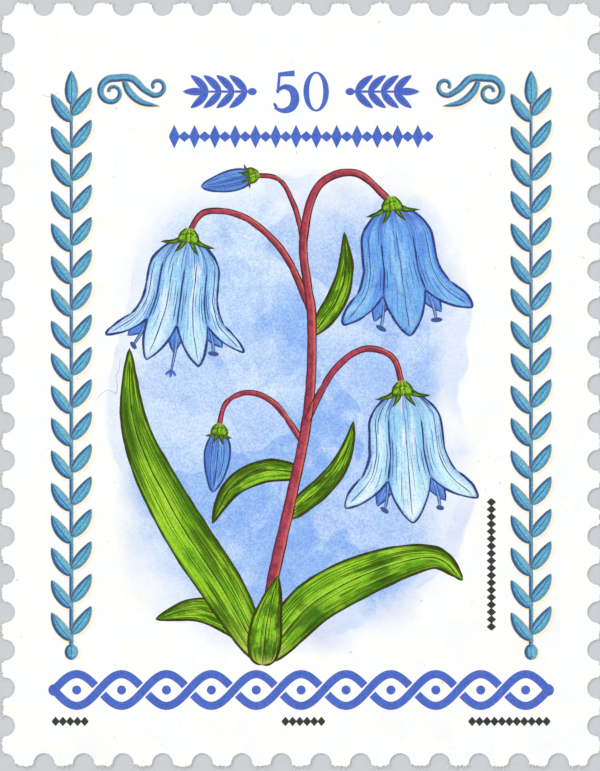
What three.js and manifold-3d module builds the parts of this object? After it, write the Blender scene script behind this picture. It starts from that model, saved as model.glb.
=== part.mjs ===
// A perforated postage stamp lying face up: the paper, the dried gum under it and the printed inks on it.
// Millimetres, +X to the right of the picture, +Y up the picture and +Z out of the printed face.
// The origin is the middle of the stamp, on the surface that the gum lies on.

import * as THREE from "three";
import { mergeVertices } from "three/addons/utils/BufferGeometryUtils.js";
import Module from "manifold-3d";

const wasm = await Module();
wasm.setup();

// Driving dimensions of the perforation: the gauge is the number of holes in 20 mm
const GAUGE_ACROSS = 11.5;
const GAUGE_UP = 12;
const PITCHES_ACROSS = 15; // from corner hole to corner hole
const PITCHES_UP = 20;
const HOLE_RADIUS = 0.466;
const TORN_REACH = 0.13; // how far the torn teeth stand past the line of the hole centres
const TORN_POINTS = 3; // ragged points on each tooth
const SHORTEST_TEAR = 0.35; // the least height of a ragged point, as a share of the random range's top
const HOLE_STEPS = 6; // flats round half a hole
const PITCH_X = 20 / GAUGE_ACROSS;
const PITCH_Y = 20 / GAUGE_UP;
const HALF_WIDTH = (PITCHES_ACROSS * PITCH_X) / 2;
const HALF_HEIGHT = (PITCHES_UP * PITCH_Y) / 2;

// Driving heights of the layers, with the films of ink drawn thicker than life
const GUM = 0.02;
const PAPER = 0.1;
const INK = 0.01;
const FACE = GUM + PAPER; // the printed face of the paper
const OVERPRINT = FACE + INK; // the top of the wash, which the picture is printed on

// Driving places of the design, from the middle of the stamp
const FRAME_X = 10.1; // the two side frames
const FRAME_TOP = 13.8;
const FRAME_BOTTOM = -12.1;
const SCROLL_Y = 12.95; // the corner scrolls
const NUMERAL_BASE = 12.0;
const NUMERAL_HEIGHT = 1.75;
const SPRIG_FOOT = 1.95; // where the sprigs beside the numeral start
const BEAD_BAND_Y = 10.9;
const BEAD_BAND_REACH = 5.8;
const PLAIT_Y = -13.42;
const PLAIT_REACH = 10.85;
const IMPRINT_Y = -14.8;
const CAPTION_X = 8.36;
const WASH = { x: -0.45, y: -1.15, reachX: 8.2, reachY: 11.2 };

// Seeded random numbers from 0 to 1, the same on each run
let seed = 11;
function random() {
  seed = (seed * 48271) % 2147483647;
  return seed / 2147483647;
}

// Plane geometry

const point = (x, y) => new THREE.Vector2(x, y);

// A smooth path through hand-chosen points
const through = (...places) => new THREE.SplineCurve(places.map(([x, y]) => point(x, y)));

// Places on a spiral round a centre, from one radius and angle to another
function spiral(x, y, fromRadius, toRadius, fromAngle, toAngle) {
  const places = [];
  const steps = 16;
  for (let i = 0; i <= steps; i++) {
    const a = fromAngle + ((toAngle - fromAngle) * i) / steps;
    const radius = fromRadius + ((toRadius - fromRadius) * i) / steps;
    places.push([x + radius * Math.cos(a), y + radius * Math.sin(a)]);
  }
  return places;
}

// The outline of a stroke that follows a path, with a half width that changes along it
function blade(path, halfWidth, steps) {
  const left = [];
  const right = [];
  for (let i = 0; i <= steps; i++) {
    const t = i / steps;
    const at = path.getPointAt(t);
    const ahead = path.getTangentAt(t);
    const half = halfWidth(t);
    right.push(point(at.x + ahead.y * half, at.y - ahead.x * half));
    if (half > 1e-6) left.push(point(at.x - ahead.y * half, at.y + ahead.x * half));
  }
  return [...right, ...left.reverse()];
}

// Half widths along a stroke: one that swells between two points, one that narrows, and a zigzag chain
function swelling(most, early, late) {
  const peak = early / (early + late);
  const top = peak ** early * (1 - peak) ** late;
  return (t) => (most * t ** early * Math.max(1 - t, 0) ** late) / top;
}
const tapering = (from, to) => (t) => from + (to - from) * t;
const chained = (heights, links) => (t) => heights[Math.round(t * links) % heights.length];

// Solids

// A film of one thickness with the given outline, and with holes if it has any
function film(outline, bottom, thickness, ...holes) {
  const shape = new THREE.Shape(outline);
  shape.holes = holes.map((hole) => new THREE.Path(hole));
  const geometry = new THREE.ExtrudeGeometry(shape, { depth: thickness, bevelEnabled: false });
  geometry.translate(0, 0, bottom);
  geometry.deleteAttribute("normal");
  geometry.deleteAttribute("uv");
  return geometry;
}

function solid(geometry) {
  const merged = mergeVertices(geometry);
  return new wasm.Manifold(
    new wasm.Mesh({
      numProp: 3,
      vertProperties: merged.attributes.position.array,
      triVerts: new Uint32Array(merged.index.array),
    }),
  );
}

// Strokes of one ink run together into one film, or are left out where another ink is printed
const joined = (films) => films.reduce((all, one) => all.add(one));
const without = (ink, others) => others.reduce((rest, other) => rest.subtract(other), ink);

// The largest body of a solid, without the scraps that a neighbour's outline cuts off
function largest(ink) {
  return ink.decompose().reduce((most, body) => (body.volume() > most.volume() ? body : most));
}

function geometryOf(ink) {
  const mesh = ink.getMesh();
  const geometry = new THREE.BufferGeometry();
  geometry.setAttribute("position", new THREE.BufferAttribute(mesh.vertProperties, 3));
  geometry.setIndex(new THREE.BufferAttribute(mesh.triVerts, 1));
  geometry.computeVertexNormals();
  return geometry;
}

const onPaper = (outline, ...holes) => solid(film(outline, FACE, INK, ...holes));
const onWash = (outline) => solid(film(outline, OVERPRINT, INK));

// Materials

const paperWhite = new THREE.MeshStandardMaterial({ color: 0xfffffd, roughness: 0.88, metalness: 0 });
const gumClear = new THREE.MeshStandardMaterial({ color: 0xf3efdf, roughness: 0.35, metalness: 0 });
const washBlue = new THREE.MeshStandardMaterial({ color: 0xbddaff, roughness: 0.7, metalness: 0 });
const petalBlue = new THREE.MeshStandardMaterial({ color: 0x7db4ea, roughness: 0.6, metalness: 0 });
const leafGreen = new THREE.MeshStandardMaterial({ color: 0x6cab20, roughness: 0.6, metalness: 0 });
const stalkRed = new THREE.MeshStandardMaterial({ color: 0xaa3250, roughness: 0.6, metalness: 0 });
const frameTeal = new THREE.MeshStandardMaterial({ color: 0x69b0cb, roughness: 0.6, metalness: 0 });
const numeralBlue = new THREE.MeshStandardMaterial({ color: 0x5472c5, roughness: 0.6, metalness: 0 });
const imprintBlack = new THREE.MeshStandardMaterial({ color: 0x3e3e3c, roughness: 0.6, metalness: 0 });

// Paper and gum, torn from the sheet along one outline

// Teeth between two holes: random heights, of which the tallest on a side stands at the full torn reach
function tornHeights(teeth) {
  const heights = [];
  for (let i = 0; i < teeth * TORN_POINTS; i++) {
    heights.push(SHORTEST_TEAR + (1 - SHORTEST_TEAR) * random());
  }
  const tallest = Math.max(...heights);
  return heights.map((height) => (TORN_REACH * height) / tallest);
}

// One side of the outline, run anticlockwise: each hole's arc, then the torn tooth after it
function perforatedSide(cornerX, cornerY, alongX, alongY, pitches, pitch) {
  const at = (along, inward) =>
    point(cornerX + alongX * along - alongY * inward, cornerY + alongY * along + alongX * inward);
  const heights = tornHeights(pitches);
  const tooth = pitch - 2 * HOLE_RADIUS;
  const places = [];
  for (let i = 0; i < pitches; i++) {
    const steps = i === 0 ? HOLE_STEPS / 2 : HOLE_STEPS;
    for (let k = 0; k <= steps; k++) {
      const angle = ((steps - k) / HOLE_STEPS) * Math.PI;
      places.push(at(i * pitch + HOLE_RADIUS * Math.cos(angle), HOLE_RADIUS * Math.sin(angle)));
    }
    for (let k = 0; k < TORN_POINTS; k++) {
      const along = i * pitch + HOLE_RADIUS + (tooth * (k + 0.5)) / TORN_POINTS;
      places.push(at(along, -heights[i * TORN_POINTS + k]));
    }
  }
  return places;
}

const outline = [
  ...perforatedSide(-HALF_WIDTH, -HALF_HEIGHT, 1, 0, PITCHES_ACROSS, PITCH_X),
  ...perforatedSide(HALF_WIDTH, -HALF_HEIGHT, 0, 1, PITCHES_UP, PITCH_Y),
  ...perforatedSide(HALF_WIDTH, HALF_HEIGHT, -1, 0, PITCHES_ACROSS, PITCH_X),
  ...perforatedSide(-HALF_WIDTH, HALF_HEIGHT, 0, -1, PITCHES_UP, PITCH_Y),
];

// The pale wash behind the picture: a rounded box whose edge wanders in and out

function washEdge() {
  const places = [];
  const steps = 48;
  const wander = 0.025;
  const squareness = 0.55;
  const squared = (v) => Math.sign(v) * Math.abs(v) ** squareness;
  for (let i = 0; i < steps; i++) {
    const a = (i / steps) * 2 * Math.PI;
    const reach = 1 - wander * (1 + Math.sin(3 * a + 1) * Math.cos(5 * a));
    const x = WASH.x + WASH.reachX * reach * squared(Math.cos(a));
    const y = WASH.y + WASH.reachY * reach * squared(Math.sin(a));
    places.push(point(x, y));
  }
  return places;
}

// The flower spray: stalks, leaves, nodding bells, buds and their green cups

const MAIN_STALK = [
  [-1.7, -12],
  [-1.25, -8.6],
  [-0.35, -4.6],
  [0.35, -0.8],
  [0.45, 3],
  [0.1, 6.2],
  [0.75, 8.7],
  [2.4, 9.3],
  [3.95, 8],
];
const stalks = {
  main: blade(through(...MAIN_STALK), tapering(0.26, 0.13), 26),
  left: blade(
    through([0.42, 3.2], [-0.7, 5.7], [-2.4, 7.3], [-4.2, 7.6], [-4.95, 6.6]),
    tapering(0.14, 0.11),
    14,
  ),
  right: blade(
    through([0.2, -1.7], [1.35, 0.5], [2.7, 1.55], [4, 1.2], [4.45, -0.1]),
    tapering(0.14, 0.11),
    14,
  ),
  leftBud: blade(
    through([0.1, -2.6], [-1.1, -0.9], [-2.3, -0.35], [-3.3, -0.8], [-3.6, -1.9]),
    tapering(0.12, 0.09),
    14,
  ),
  topBud: blade(through([0.12, 6.0], [-0.25, 7.7], [-0.95, 9.0], [-2.1, 9.2]), tapering(0.1, 0.08), 14),
};

// Leaves swell from the root and end in a point
const basalLeaves = [
  blade(
    through([-1.75, -12.1], [-3.3, -9.2], [-5.6, -5.6], [-7.3, -1.9], [-7.55, 1.6]),
    swelling(0.95, 0.45, 0.8),
    22,
  ),
  blade(
    through([-1.6, -12.1], [0.4, -9.7], [3.2, -8.2], [5.8, -7.6], [7.1, -8.6]),
    swelling(0.95, 0.45, 0.75),
    22,
  ),
  blade(through([-1.7, -12.2], [-2.7, -10.6], [-4.5, -9.9], [-6.4, -10.3]), swelling(0.62, 0.5, 0.8), 14),
  blade(through([-1.7, -12.3], [-1.5, -10.4], [-1.0, -8.4]), swelling(0.7, 0.35, 0.9), 10),
];
const stemLeaves = {
  low: blade(through([-0.75, -5.9], [1.2, -4.2], [2.0, -2.9], [2.3, -1.6]), swelling(0.42, 0.5, 0.9), 12),
  middle: blade(
    through([0.05, -3.9], [-1.6, -3.8], [-3.1, -4.6], [-3.9, -6.1]),
    swelling(0.48, 0.5, 0.9),
    12,
  ),
  high: blade(through([0.45, 2.2], [1.5, 3.6], [1.95, 5.1], [1.9, 6.7]), swelling(0.42, 0.5, 0.9), 12),
};

// A bell seen from the side, with its sizes in lengths of its cup
const BELL = {
  halfTurn: (80 * Math.PI) / 180, // how far round it is seen to either side
  neck: 0.1,
  shoulder: 0.31, // how far the round shoulder stands out from the neck
  shoulderEnd: 0.4,
  taper: 0.05,
  flare: 0.7,
  flareStart: 0.7,
  lobe: 0.44, // length of a pointed lobe past the cup
  farLobe: 0.68, // length of the far lobes, as a share of a near one
  curl: 0.15, // how far the side lobes curl out, and up
  lift: 0.5,
  droop: 0.07, // how much nearer the eye the middle hangs
};

// Half width at a distance down the bell
function bellWidth(down) {
  const shoulder = 1 - (1 - Math.min(down / BELL.shoulderEnd, 1)) ** 2;
  const flare = Math.max(down - BELL.flareStart, 0) ** 1.6;
  return BELL.neck + BELL.shoulder * shoulder + BELL.taper * down + BELL.flare * flare;
}

// How far down the rim lies at a share across the bell, from -1 to 1, with the lobes evenly spaced
function bellRim(across, lobes) {
  const share = ((across + 1) / 2) * lobes;
  const fromTip = Math.abs(2 * (share - Math.floor(Math.min(share, lobes - 1e-9))) - 1);
  return 1 + BELL.lobe * (1 - fromTip ** 1.2);
}

// A place at a distance along a leaning axis that points down, and a distance to its right
function alongAxis({ x, y, lean }, along, right) {
  return [
    x + along * Math.sin(lean) + right * Math.cos(lean),
    y - along * Math.cos(lean) + right * Math.sin(lean),
  ];
}

// A place on a bell at a share across and a distance down, with its sides turned away and its lobes curled
function onBell(bell, across, down) {
  const side = Math.sin(across * BELL.halfTurn) / Math.sin(BELL.halfTurn);
  const past = Math.max(down - 1, 0);
  const droop = BELL.droop * (1 - side ** 2) * down ** 2;
  const along = down - BELL.lift * past * side ** 2 + droop;
  const right = side * (bellWidth(down) + BELL.curl * past * Math.abs(side));
  return alongAxis(bell, along * bell.length, right * bell.length);
}

// The front of the bell
function bellFront(bell) {
  const places = [];
  const sideSteps = 9;
  const rimSteps = bell.lobes * 8;
  for (let i = 0; i < sideSteps; i++) places.push(onBell(bell, -1, i / sideSteps));
  for (let i = 0; i <= rimSteps; i++) {
    const across = (2 * i) / rimSteps - 1;
    places.push(onBell(bell, across, bellRim(across, bell.lobes)));
  }
  for (let i = sideSteps - 1; i >= 0; i--) places.push(onBell(bell, 1, i / sideSteps));
  return places.map(([x, y]) => point(x, y));
}

// The tips of the far lobes, which show between the near ones
function farLobes(bell) {
  const lobes = [];
  const half = 0.15 * bell.length;
  for (let k = 1; k < bell.lobes; k++) {
    const notch = (2 * k) / bell.lobes - 1;
    const tip = onBell(bell, notch * 1.12, 1 + BELL.farLobe * BELL.lobe);
    const path = through(onBell(bell, notch, 0.8), onBell(bell, notch * 1.06, 1.05), tip);
    lobes.push(blade(path, (t) => half * (1 - t ** 2) ** 0.9, 8));
  }
  return lobes;
}

const bells = {
  top: { x: 4.0, y: 7.85, lean: 0.14, length: 3.65, lobes: 3 },
  left: { x: -4.95, y: 6.45, lean: -0.13, length: 3.6, lobes: 4 },
  right: { x: 4.45, y: -0.25, lean: 0.08, length: 3.7, lobes: 3 },
};

const buds = {
  left: { x: -3.6, y: -2.05, lean: -0.1, length: 2.7, half: 0.55 },
  top: { x: -2.15, y: 9.2, lean: -1.35, length: 2.3, half: 0.45 },
};

function budOutline(bud) {
  const bow = alongAxis(bud, bud.length / 2, 0.03);
  const path = through(alongAxis(bud, 0, 0), bow, alongAxis(bud, bud.length, 0));
  return blade(path, swelling(bud.half, 0.5, 0.8), 14);
}

// The green cup over a bell or a bud: a dome and narrow teeth that spread from it, the inner ones longer
function cupOutlines(flower, size, spread) {
  const dome = through(alongAxis(flower, -0.42 * size, 0), alongAxis(flower, 0.22 * size, 0));
  const outlines = [blade(dome, (t) => size * (0.16 + 0.3 * Math.sin((t * Math.PI) / 1.6)), 6)];
  for (const side of [-1, -0.45, 0.45, 1]) {
    const inner = 1 - Math.abs(side);
    const root = alongAxis(flower, 0, 0.2 * side * size);
    const bend = alongAxis(flower, (0.25 + 0.3 * inner) * size, 0.62 * side * spread * size);
    const tip = alongAxis(flower, (0.32 + 0.75 * inner) * size, 1.2 * side * spread * size);
    outlines.push(blade(through(root, bend, tip), (t) => 0.13 * size * (1 - t) ** 0.8, 4));
  }
  return outlines;
}

const cups = {
  top_bell: cupOutlines(bells.top, 1, 1),
  left_bell: cupOutlines(bells.left, 1, 1),
  right_bell: cupOutlines(bells.right, 1, 1),
  left_bud: cupOutlines(buds.left, 0.8, 0.6),
  top_bud: cupOutlines(buds.top, 0.75, 0.6),
};

const eachOf = (things, make) =>
  Object.fromEntries(Object.entries(things).map(([name, thing]) => [name, make(thing)]));
const cupInk = eachOf(cups, (outlines) => joined(outlines.map(onWash)));
const bellInk = eachOf(bells, (bell) => joined([bellFront(bell), ...farLobes(bell)].map(onWash)));
const budInk = eachOf(buds, (bud) => onWash(budOutline(bud)));
const foliageInk = joined(basalLeaves.map(onWash));
const allCups = Object.values(cupInk);
const allFlowers = [...Object.values(bellInk), ...Object.values(budInk)];
const stalkInk = largest(
  without(joined(Object.values(stalks).map(onWash)), [foliageInk, ...allCups, ...allFlowers]),
);

// Laurel: a thin rod with pairs of leaves, a leaf at its tip and a bead at its foot

const FRAME_BRANCH = {
  length: FRAME_TOP - FRAME_BOTTOM,
  rod: [0.1, 0.07], // half widths at the foot and at the tip
  bead: { length: 0.7, half: 0.3 },
  tip: { length: 1.5, half: 0.3 },
  pairs: 17,
  firstPair: 0.85, // from the foot
  lastPair: 2.25, // from the tip
  stagger: 0.28, // how much further up the right-hand leaves stand
  leaf: { length: 1.55, out: 0.88, half: 0.28 },
};
const SPRIG = {
  length: 3.25,
  rod: [0.06, 0.045],
  bead: { length: 0.4, half: 0.16 },
  tip: { length: 0.95, half: 0.17 },
  pairs: 4,
  firstPair: 0.45,
  lastPair: 1.1,
  stagger: 0,
  leaf: { length: 0.95, out: 0.72, half: 0.17 },
};

// The outlines of a branch that grows from a foot along a unit heading
function laurel([footX, footY], [headX, headY], branch) {
  const at = (along, right) => [
    footX + headX * along + headY * right,
    footY + headY * along - headX * right,
  ];
  const { length, bead, tip, leaf } = branch;
  const rod = through(at(bead.length / 2, 0), at(length - tip.length * 0.6, 0));
  const strokes = [blade(rod, tapering(...branch.rod), 1)];
  const pitch = (length - branch.firstPair - branch.lastPair) / (branch.pairs - 1);
  for (let i = 0; i < branch.pairs; i++) {
    for (const side of [-1, 1]) {
      const root = branch.firstPair + pitch * i + (side > 0 ? branch.stagger : 0);
      const bend = at(root + leaf.length * 0.42, side * leaf.out * 0.62);
      const path = through(at(root, 0), bend, at(root + leaf.length * 0.8, side * leaf.out));
      strokes.push(blade(path, swelling(leaf.half, 0.55, 0.75), 3));
    }
  }
  strokes.push(blade(through(at(length - tip.length, 0), at(length, 0)), swelling(tip.half, 0.55, 0.8), 6));
  strokes.push(blade(through(at(0, 0), at(bead.length, 0)), swelling(bead.half, 0.5, 0.5), 8));
  return strokes;
}

// The corner scrolls: a large and a small volute joined in one sweep, with a leaf that springs from it

function cornerScroll(side) {
  const mirrored = (places) => through(...places.map(([x, y]) => [side * x, SCROLL_Y + y]));
  const sweep = mirrored([
    ...spiral(8.3, -0.1, 0.14, 0.62, 0, 2.55 * Math.PI),
    [7.45, 0.5],
    [6.95, 0.05],
    ...spiral(6.35, 0.16, 0.42, 0.14, -0.35 * Math.PI, -2.2 * Math.PI),
  ]);
  const spray = mirrored([[7.85, 0.55], [7.55, -0.1], [7.0, -0.55], [6.2, -0.72]]);
  const strokes = [
    blade(sweep, (t) => 0.085 + 0.09 * Math.sin(Math.PI * t) ** 2, 44),
    blade(spray, swelling(0.17, 0.5, 0.8), 12),
  ];
  return strokes;
}

// The plain numeral fifty, drawn with thick and thin strokes

function numeralFive(left, base, height) {
  const width = height * 0.56;
  const thin = height * 0.035;
  const thick = height * 0.11;
  const at = (x, y) => [left + x * width, base + y * height];
  const bowlTop = [at(0.14, 0.5), at(0.5, 0.62), at(0.86, 0.53), at(0.97, 0.3)];
  const bowlFoot = [at(0.8, 0.09), at(0.42, 0.02), at(0.06, 0.1)];
  const fullest = (t) => thin + (thick - thin) * Math.sin(Math.PI * t) ** 1.5;
  const strokes = [
    blade(through(...bowlTop, ...bowlFoot), fullest, 20),
    blade(through(at(0.2, 0.46), at(0.28, 0.98)), tapering(thin, thin), 1),
    blade(through(at(0.24, 0.93), at(0.95, 0.96)), tapering(height * 0.05, height * 0.075), 1),
    blade(through(at(0.04, 0.12), at(0.16, 0.16)), swelling(height * 0.085, 0.5, 0.5), 8),
  ];
  return strokes;
}

function ellipse(x, y, halfX, halfY, steps) {
  const places = [];
  for (let i = 0; i < steps; i++) {
    const a = (i / steps) * 2 * Math.PI;
    places.push(point(x + halfX * Math.cos(a), y + halfY * Math.sin(a)));
  }
  return places;
}

function numeralNought(left, base, height) {
  const half = height * 0.32;
  const outer = ellipse(left + half, base + height / 2, half, height / 2, 24);
  const inner = ellipse(left + half, base + height / 2, half * 0.55, height * 0.45, 24);
  return onPaper(outer, inner);
}

// A row of lozenges on a thin rule, with half heights that come round in turn
const chain = (from, to, heights, links) => blade(through(from, to), chained(heights, links), links);
const largeAndSmall = [0.05, 0.52, 0.05, 0.24];
const small = [0.03, 0.21];

// One of two strands that cross each other from end to end

function strand(side) {
  const crossings = 11;
  const swing = 0.7;
  const half = 0.18;
  const places = [];
  const steps = crossings * 8;
  for (let i = 0; i <= steps; i++) {
    const x = PLAIT_REACH * ((2 * i) / steps - 1);
    places.push([x, PLAIT_Y + side * swing * Math.sin((i / steps) * crossings * Math.PI)]);
  }
  return blade(through(...places), () => half, crossings * 6);
}

// The stamp

const stamp = new THREE.Group();
stamp.name = "postage_stamp";

function add(name, geometry, material) {
  const mesh = new THREE.Mesh(geometry, material);
  mesh.name = name;
  stamp.add(mesh);
}
const print = (name, ink, material) => add(name, geometryOf(ink), material);
const printStrokes = (name, strokes, material) =>
  print(name, joined(strokes.map((stroke) => onPaper(stroke))), material);

add("gum_film", film(outline, 0, GUM), gumClear);
add("paper_sheet", film(outline, GUM, PAPER), paperWhite);

print("wash_ink", onPaper(washEdge()), washBlue);
print("foliage_ink", largest(without(foliageInk, allCups)), leafGreen);
print("stalk_ink", stalkInk, stalkRed);
for (const [name, leaf] of Object.entries(stemLeaves)) {
  print(name + "_stem_leaf_ink", largest(without(onWash(leaf), [stalkInk, foliageInk])), leafGreen);
}
for (const [name, ink] of Object.entries(bellInk)) {
  print(name + "_bell_ink", largest(without(ink, allCups)), petalBlue);
}
for (const [name, ink] of Object.entries(budInk)) {
  print(name + "_bud_ink", largest(without(ink, allCups)), petalBlue);
}
for (const [name, ink] of Object.entries(cupInk)) print(name + "_cup_ink", ink, leafGreen);

const numeralMiddle = NUMERAL_BASE + NUMERAL_HEIGHT / 2;
printStrokes("left_frame_ink", laurel([-FRAME_X, FRAME_BOTTOM], [0, 1], FRAME_BRANCH), frameTeal);
printStrokes("right_frame_ink", laurel([FRAME_X, FRAME_BOTTOM], [0, 1], FRAME_BRANCH), frameTeal);
printStrokes("left_scroll_ink", cornerScroll(-1), frameTeal);
printStrokes("right_scroll_ink", cornerScroll(1), frameTeal);
printStrokes("numeral_five_ink", numeralFive(-1.22, NUMERAL_BASE, NUMERAL_HEIGHT), numeralBlue);
print("numeral_nought_ink", numeralNought(0.1, NUMERAL_BASE, NUMERAL_HEIGHT), numeralBlue);
printStrokes("left_sprig_ink", laurel([-SPRIG_FOOT, numeralMiddle], [-1, 0], SPRIG), numeralBlue);
printStrokes("right_sprig_ink", laurel([SPRIG_FOOT, numeralMiddle], [1, 0], SPRIG), numeralBlue);

const rows = [
  ["bead_band_ink", -BEAD_BAND_REACH, BEAD_BAND_REACH, BEAD_BAND_Y, largeAndSmall, 52, numeralBlue],
  ["left_imprint_ink", -10.95, -9.35, IMPRINT_Y, small, 10, imprintBlack],
  ["middle_imprint_ink", -0.85, 1.05, IMPRINT_Y, small, 12, imprintBlack],
  ["right_imprint_ink", 7.35, 10.95, IMPRINT_Y, small, 22, imprintBlack],
];
for (const [name, from, to, y, heights, links, ink] of rows) {
  printStrokes(name, [chain([from, y], [to, y], heights, links)], ink);
}
printStrokes("caption_ink", [chain([CAPTION_X, -10.8], [CAPTION_X, -5.0], small, 36)], imprintBlack);
printStrokes("plait_band_ink", [strand(1), strand(-1)], numeralBlue);

export default stamp;
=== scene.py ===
"""The looks of a perforated postage stamp that lies face up: its paper, its gum and its printed inks.

Lengths in this script are millimetres, and MM turns them into Blender's metres. The printed design is
laid out from the middle of the stamp, and heights are counted up from the surface that it lies on.
"""

import functools
import math

import bpy
import numpy as np
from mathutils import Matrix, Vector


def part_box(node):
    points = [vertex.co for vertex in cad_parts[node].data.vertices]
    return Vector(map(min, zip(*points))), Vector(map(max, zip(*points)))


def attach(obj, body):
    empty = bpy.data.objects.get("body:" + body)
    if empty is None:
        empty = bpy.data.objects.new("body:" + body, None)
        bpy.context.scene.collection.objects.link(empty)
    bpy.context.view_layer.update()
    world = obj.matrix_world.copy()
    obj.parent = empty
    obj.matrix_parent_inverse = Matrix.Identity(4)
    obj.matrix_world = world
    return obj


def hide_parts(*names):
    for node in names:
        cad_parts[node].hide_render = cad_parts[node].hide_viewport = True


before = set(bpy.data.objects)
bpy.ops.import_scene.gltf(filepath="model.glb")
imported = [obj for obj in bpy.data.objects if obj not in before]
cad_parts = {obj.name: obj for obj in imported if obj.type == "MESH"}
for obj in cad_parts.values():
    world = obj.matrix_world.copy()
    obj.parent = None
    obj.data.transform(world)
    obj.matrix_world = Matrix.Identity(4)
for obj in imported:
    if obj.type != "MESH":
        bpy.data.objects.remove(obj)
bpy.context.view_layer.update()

MM = 0.001
sheet_low, sheet_high = (np.array(corner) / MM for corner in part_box("paper_sheet"))
MIDDLE = (sheet_low + sheet_high)[:2] / 2
UNDERSIDE = sheet_low[2]
FACE = sheet_high[2]
INK_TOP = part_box("foliage_ink")[1][2] / MM


# Perforation: the gauge is the number of holes in 20 mm
GAUGE_ACROSS = 11.5
GAUGE_UP = 12
PITCHES_ACROSS = 15
PITCHES_UP = 20
PITCH_X = 20 / GAUGE_ACROSS
PITCH_Y = 20 / GAUGE_UP
HALF_WIDTH = PITCHES_ACROSS * PITCH_X / 2
HALF_HEIGHT = PITCHES_UP * PITCH_Y / 2
HOLE_RADIUS = 0.466
TORN_REACH = 0.13
TORN_POINTS = 3
SHORTEST_TEAR = 0.35
LEAST_TEAR = 0.004
TEAR_ROUGHNESS = 0.02
HOLE_UNEVENNESS = 0.0035

# Places of the design, from the middle of the stamp
FRAME_X = 10.1
FRAME_TOP = 13.8
FRAME_BOTTOM = -12.1
SCROLL_Y = 12.95
NUMERAL_BASE = 12.0
NUMERAL_HEIGHT = 1.75
SPRIG_FOOT = 1.95
BEAD_BAND_Y = 10.9
BEAD_BAND_REACH = 5.8
PLAIT_Y = -13.42
PLAIT_REACH = 10.85
IMPRINT_Y = -14.8
CAPTION_X = 8.36
WASH = {"x": -0.4, "y": -1.15, "reach_x": 8.55, "reach_y": 11.25}

# Heights of the printed films: each film drawn over another stands a little higher
WASH_LEVEL = FACE + 0.0008
FRAME_LEVEL = FACE + 0.003
FIRST_PICTURE_LEVEL = FACE + 0.003
LEVEL_STEP = 0.0016
SHADOW_LEVEL = WASH_LEVEL
LINE_LIFT = 0.0006
HAIR = 0.00002
HAIRS = 48

THINNEST = 0.0025  # half width of a stroke


def srgb(red, green, blue):
    """A colour given in 0 to 255 screen values, as the linear colour that the shaders take."""
    screen = np.array([red, green, blue]) / 255
    linear = np.where(screen <= 0.04045, screen / 12.92, ((screen + 0.055) / 1.055) ** 2.4)
    return (*linear.tolist(), 1.0)


# Plane curves

def through(*places):
    """A smooth path through given places: a uniform Catmull-Rom spline with its end places doubled."""
    p = np.array(places, float)
    padded = np.vstack([p[:1], p, p[-1:]])
    spans = len(p) - 1
    t = np.linspace(0, spans, 24 * spans + 1)
    i = np.minimum(t.astype(int), spans - 1)
    f = (t - i)[:, None]
    a, b, c, d = (padded[i + k] for k in range(4))
    return 0.5 * (2 * b + (c - a) * f + (2 * a - 5 * b + 4 * c - d) * f**2 + (3 * b - a - 3 * c + d) * f**3)


def walk(path, shares):
    """Places and unit headings at shares of a path's length, from its running length along the chords."""
    length = np.concatenate([[0], np.cumsum(np.hypot(*np.diff(path, axis=0).T))])
    at = np.asarray(shares) * length[-1]
    place = np.stack([np.interp(at, length, path[:, k]) for k in (0, 1)], -1)
    slope = np.gradient(path, np.maximum(length, np.arange(len(length)) * 1e-9), axis=0)
    heading = np.stack([np.interp(at, length, slope[:, k]) for k in (0, 1)], -1)
    return place, heading / np.linalg.norm(heading, axis=-1, keepdims=True)


def length_of(path):
    """The length of a path along its chords."""
    return np.hypot(*np.diff(path, axis=0).T).sum()


def spiral(x, y, from_radius, to_radius, from_angle, to_angle, steps=16):
    """Places on a spiral round a centre: radius and angle both change evenly."""
    share = np.linspace(0, 1, steps + 1)
    angle = from_angle + (to_angle - from_angle) * share
    radius = from_radius + (to_radius - from_radius) * share
    return np.stack([x + radius * np.cos(angle), y + radius * np.sin(angle)], -1)


def swelling(widest, early, late):
    """Half width of a leaf-like stroke: t^early (1-t)^late, scaled so that its largest value is widest."""
    peak = early / (early + late)
    top = peak**early * (1 - peak) ** late
    return lambda t: widest * t**early * np.maximum(1 - t, 0) ** late / top


def tapering(start, end):
    """Half width of a stroke that changes evenly along it."""
    return lambda t: start + (end - start) * t


# Printed films

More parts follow.
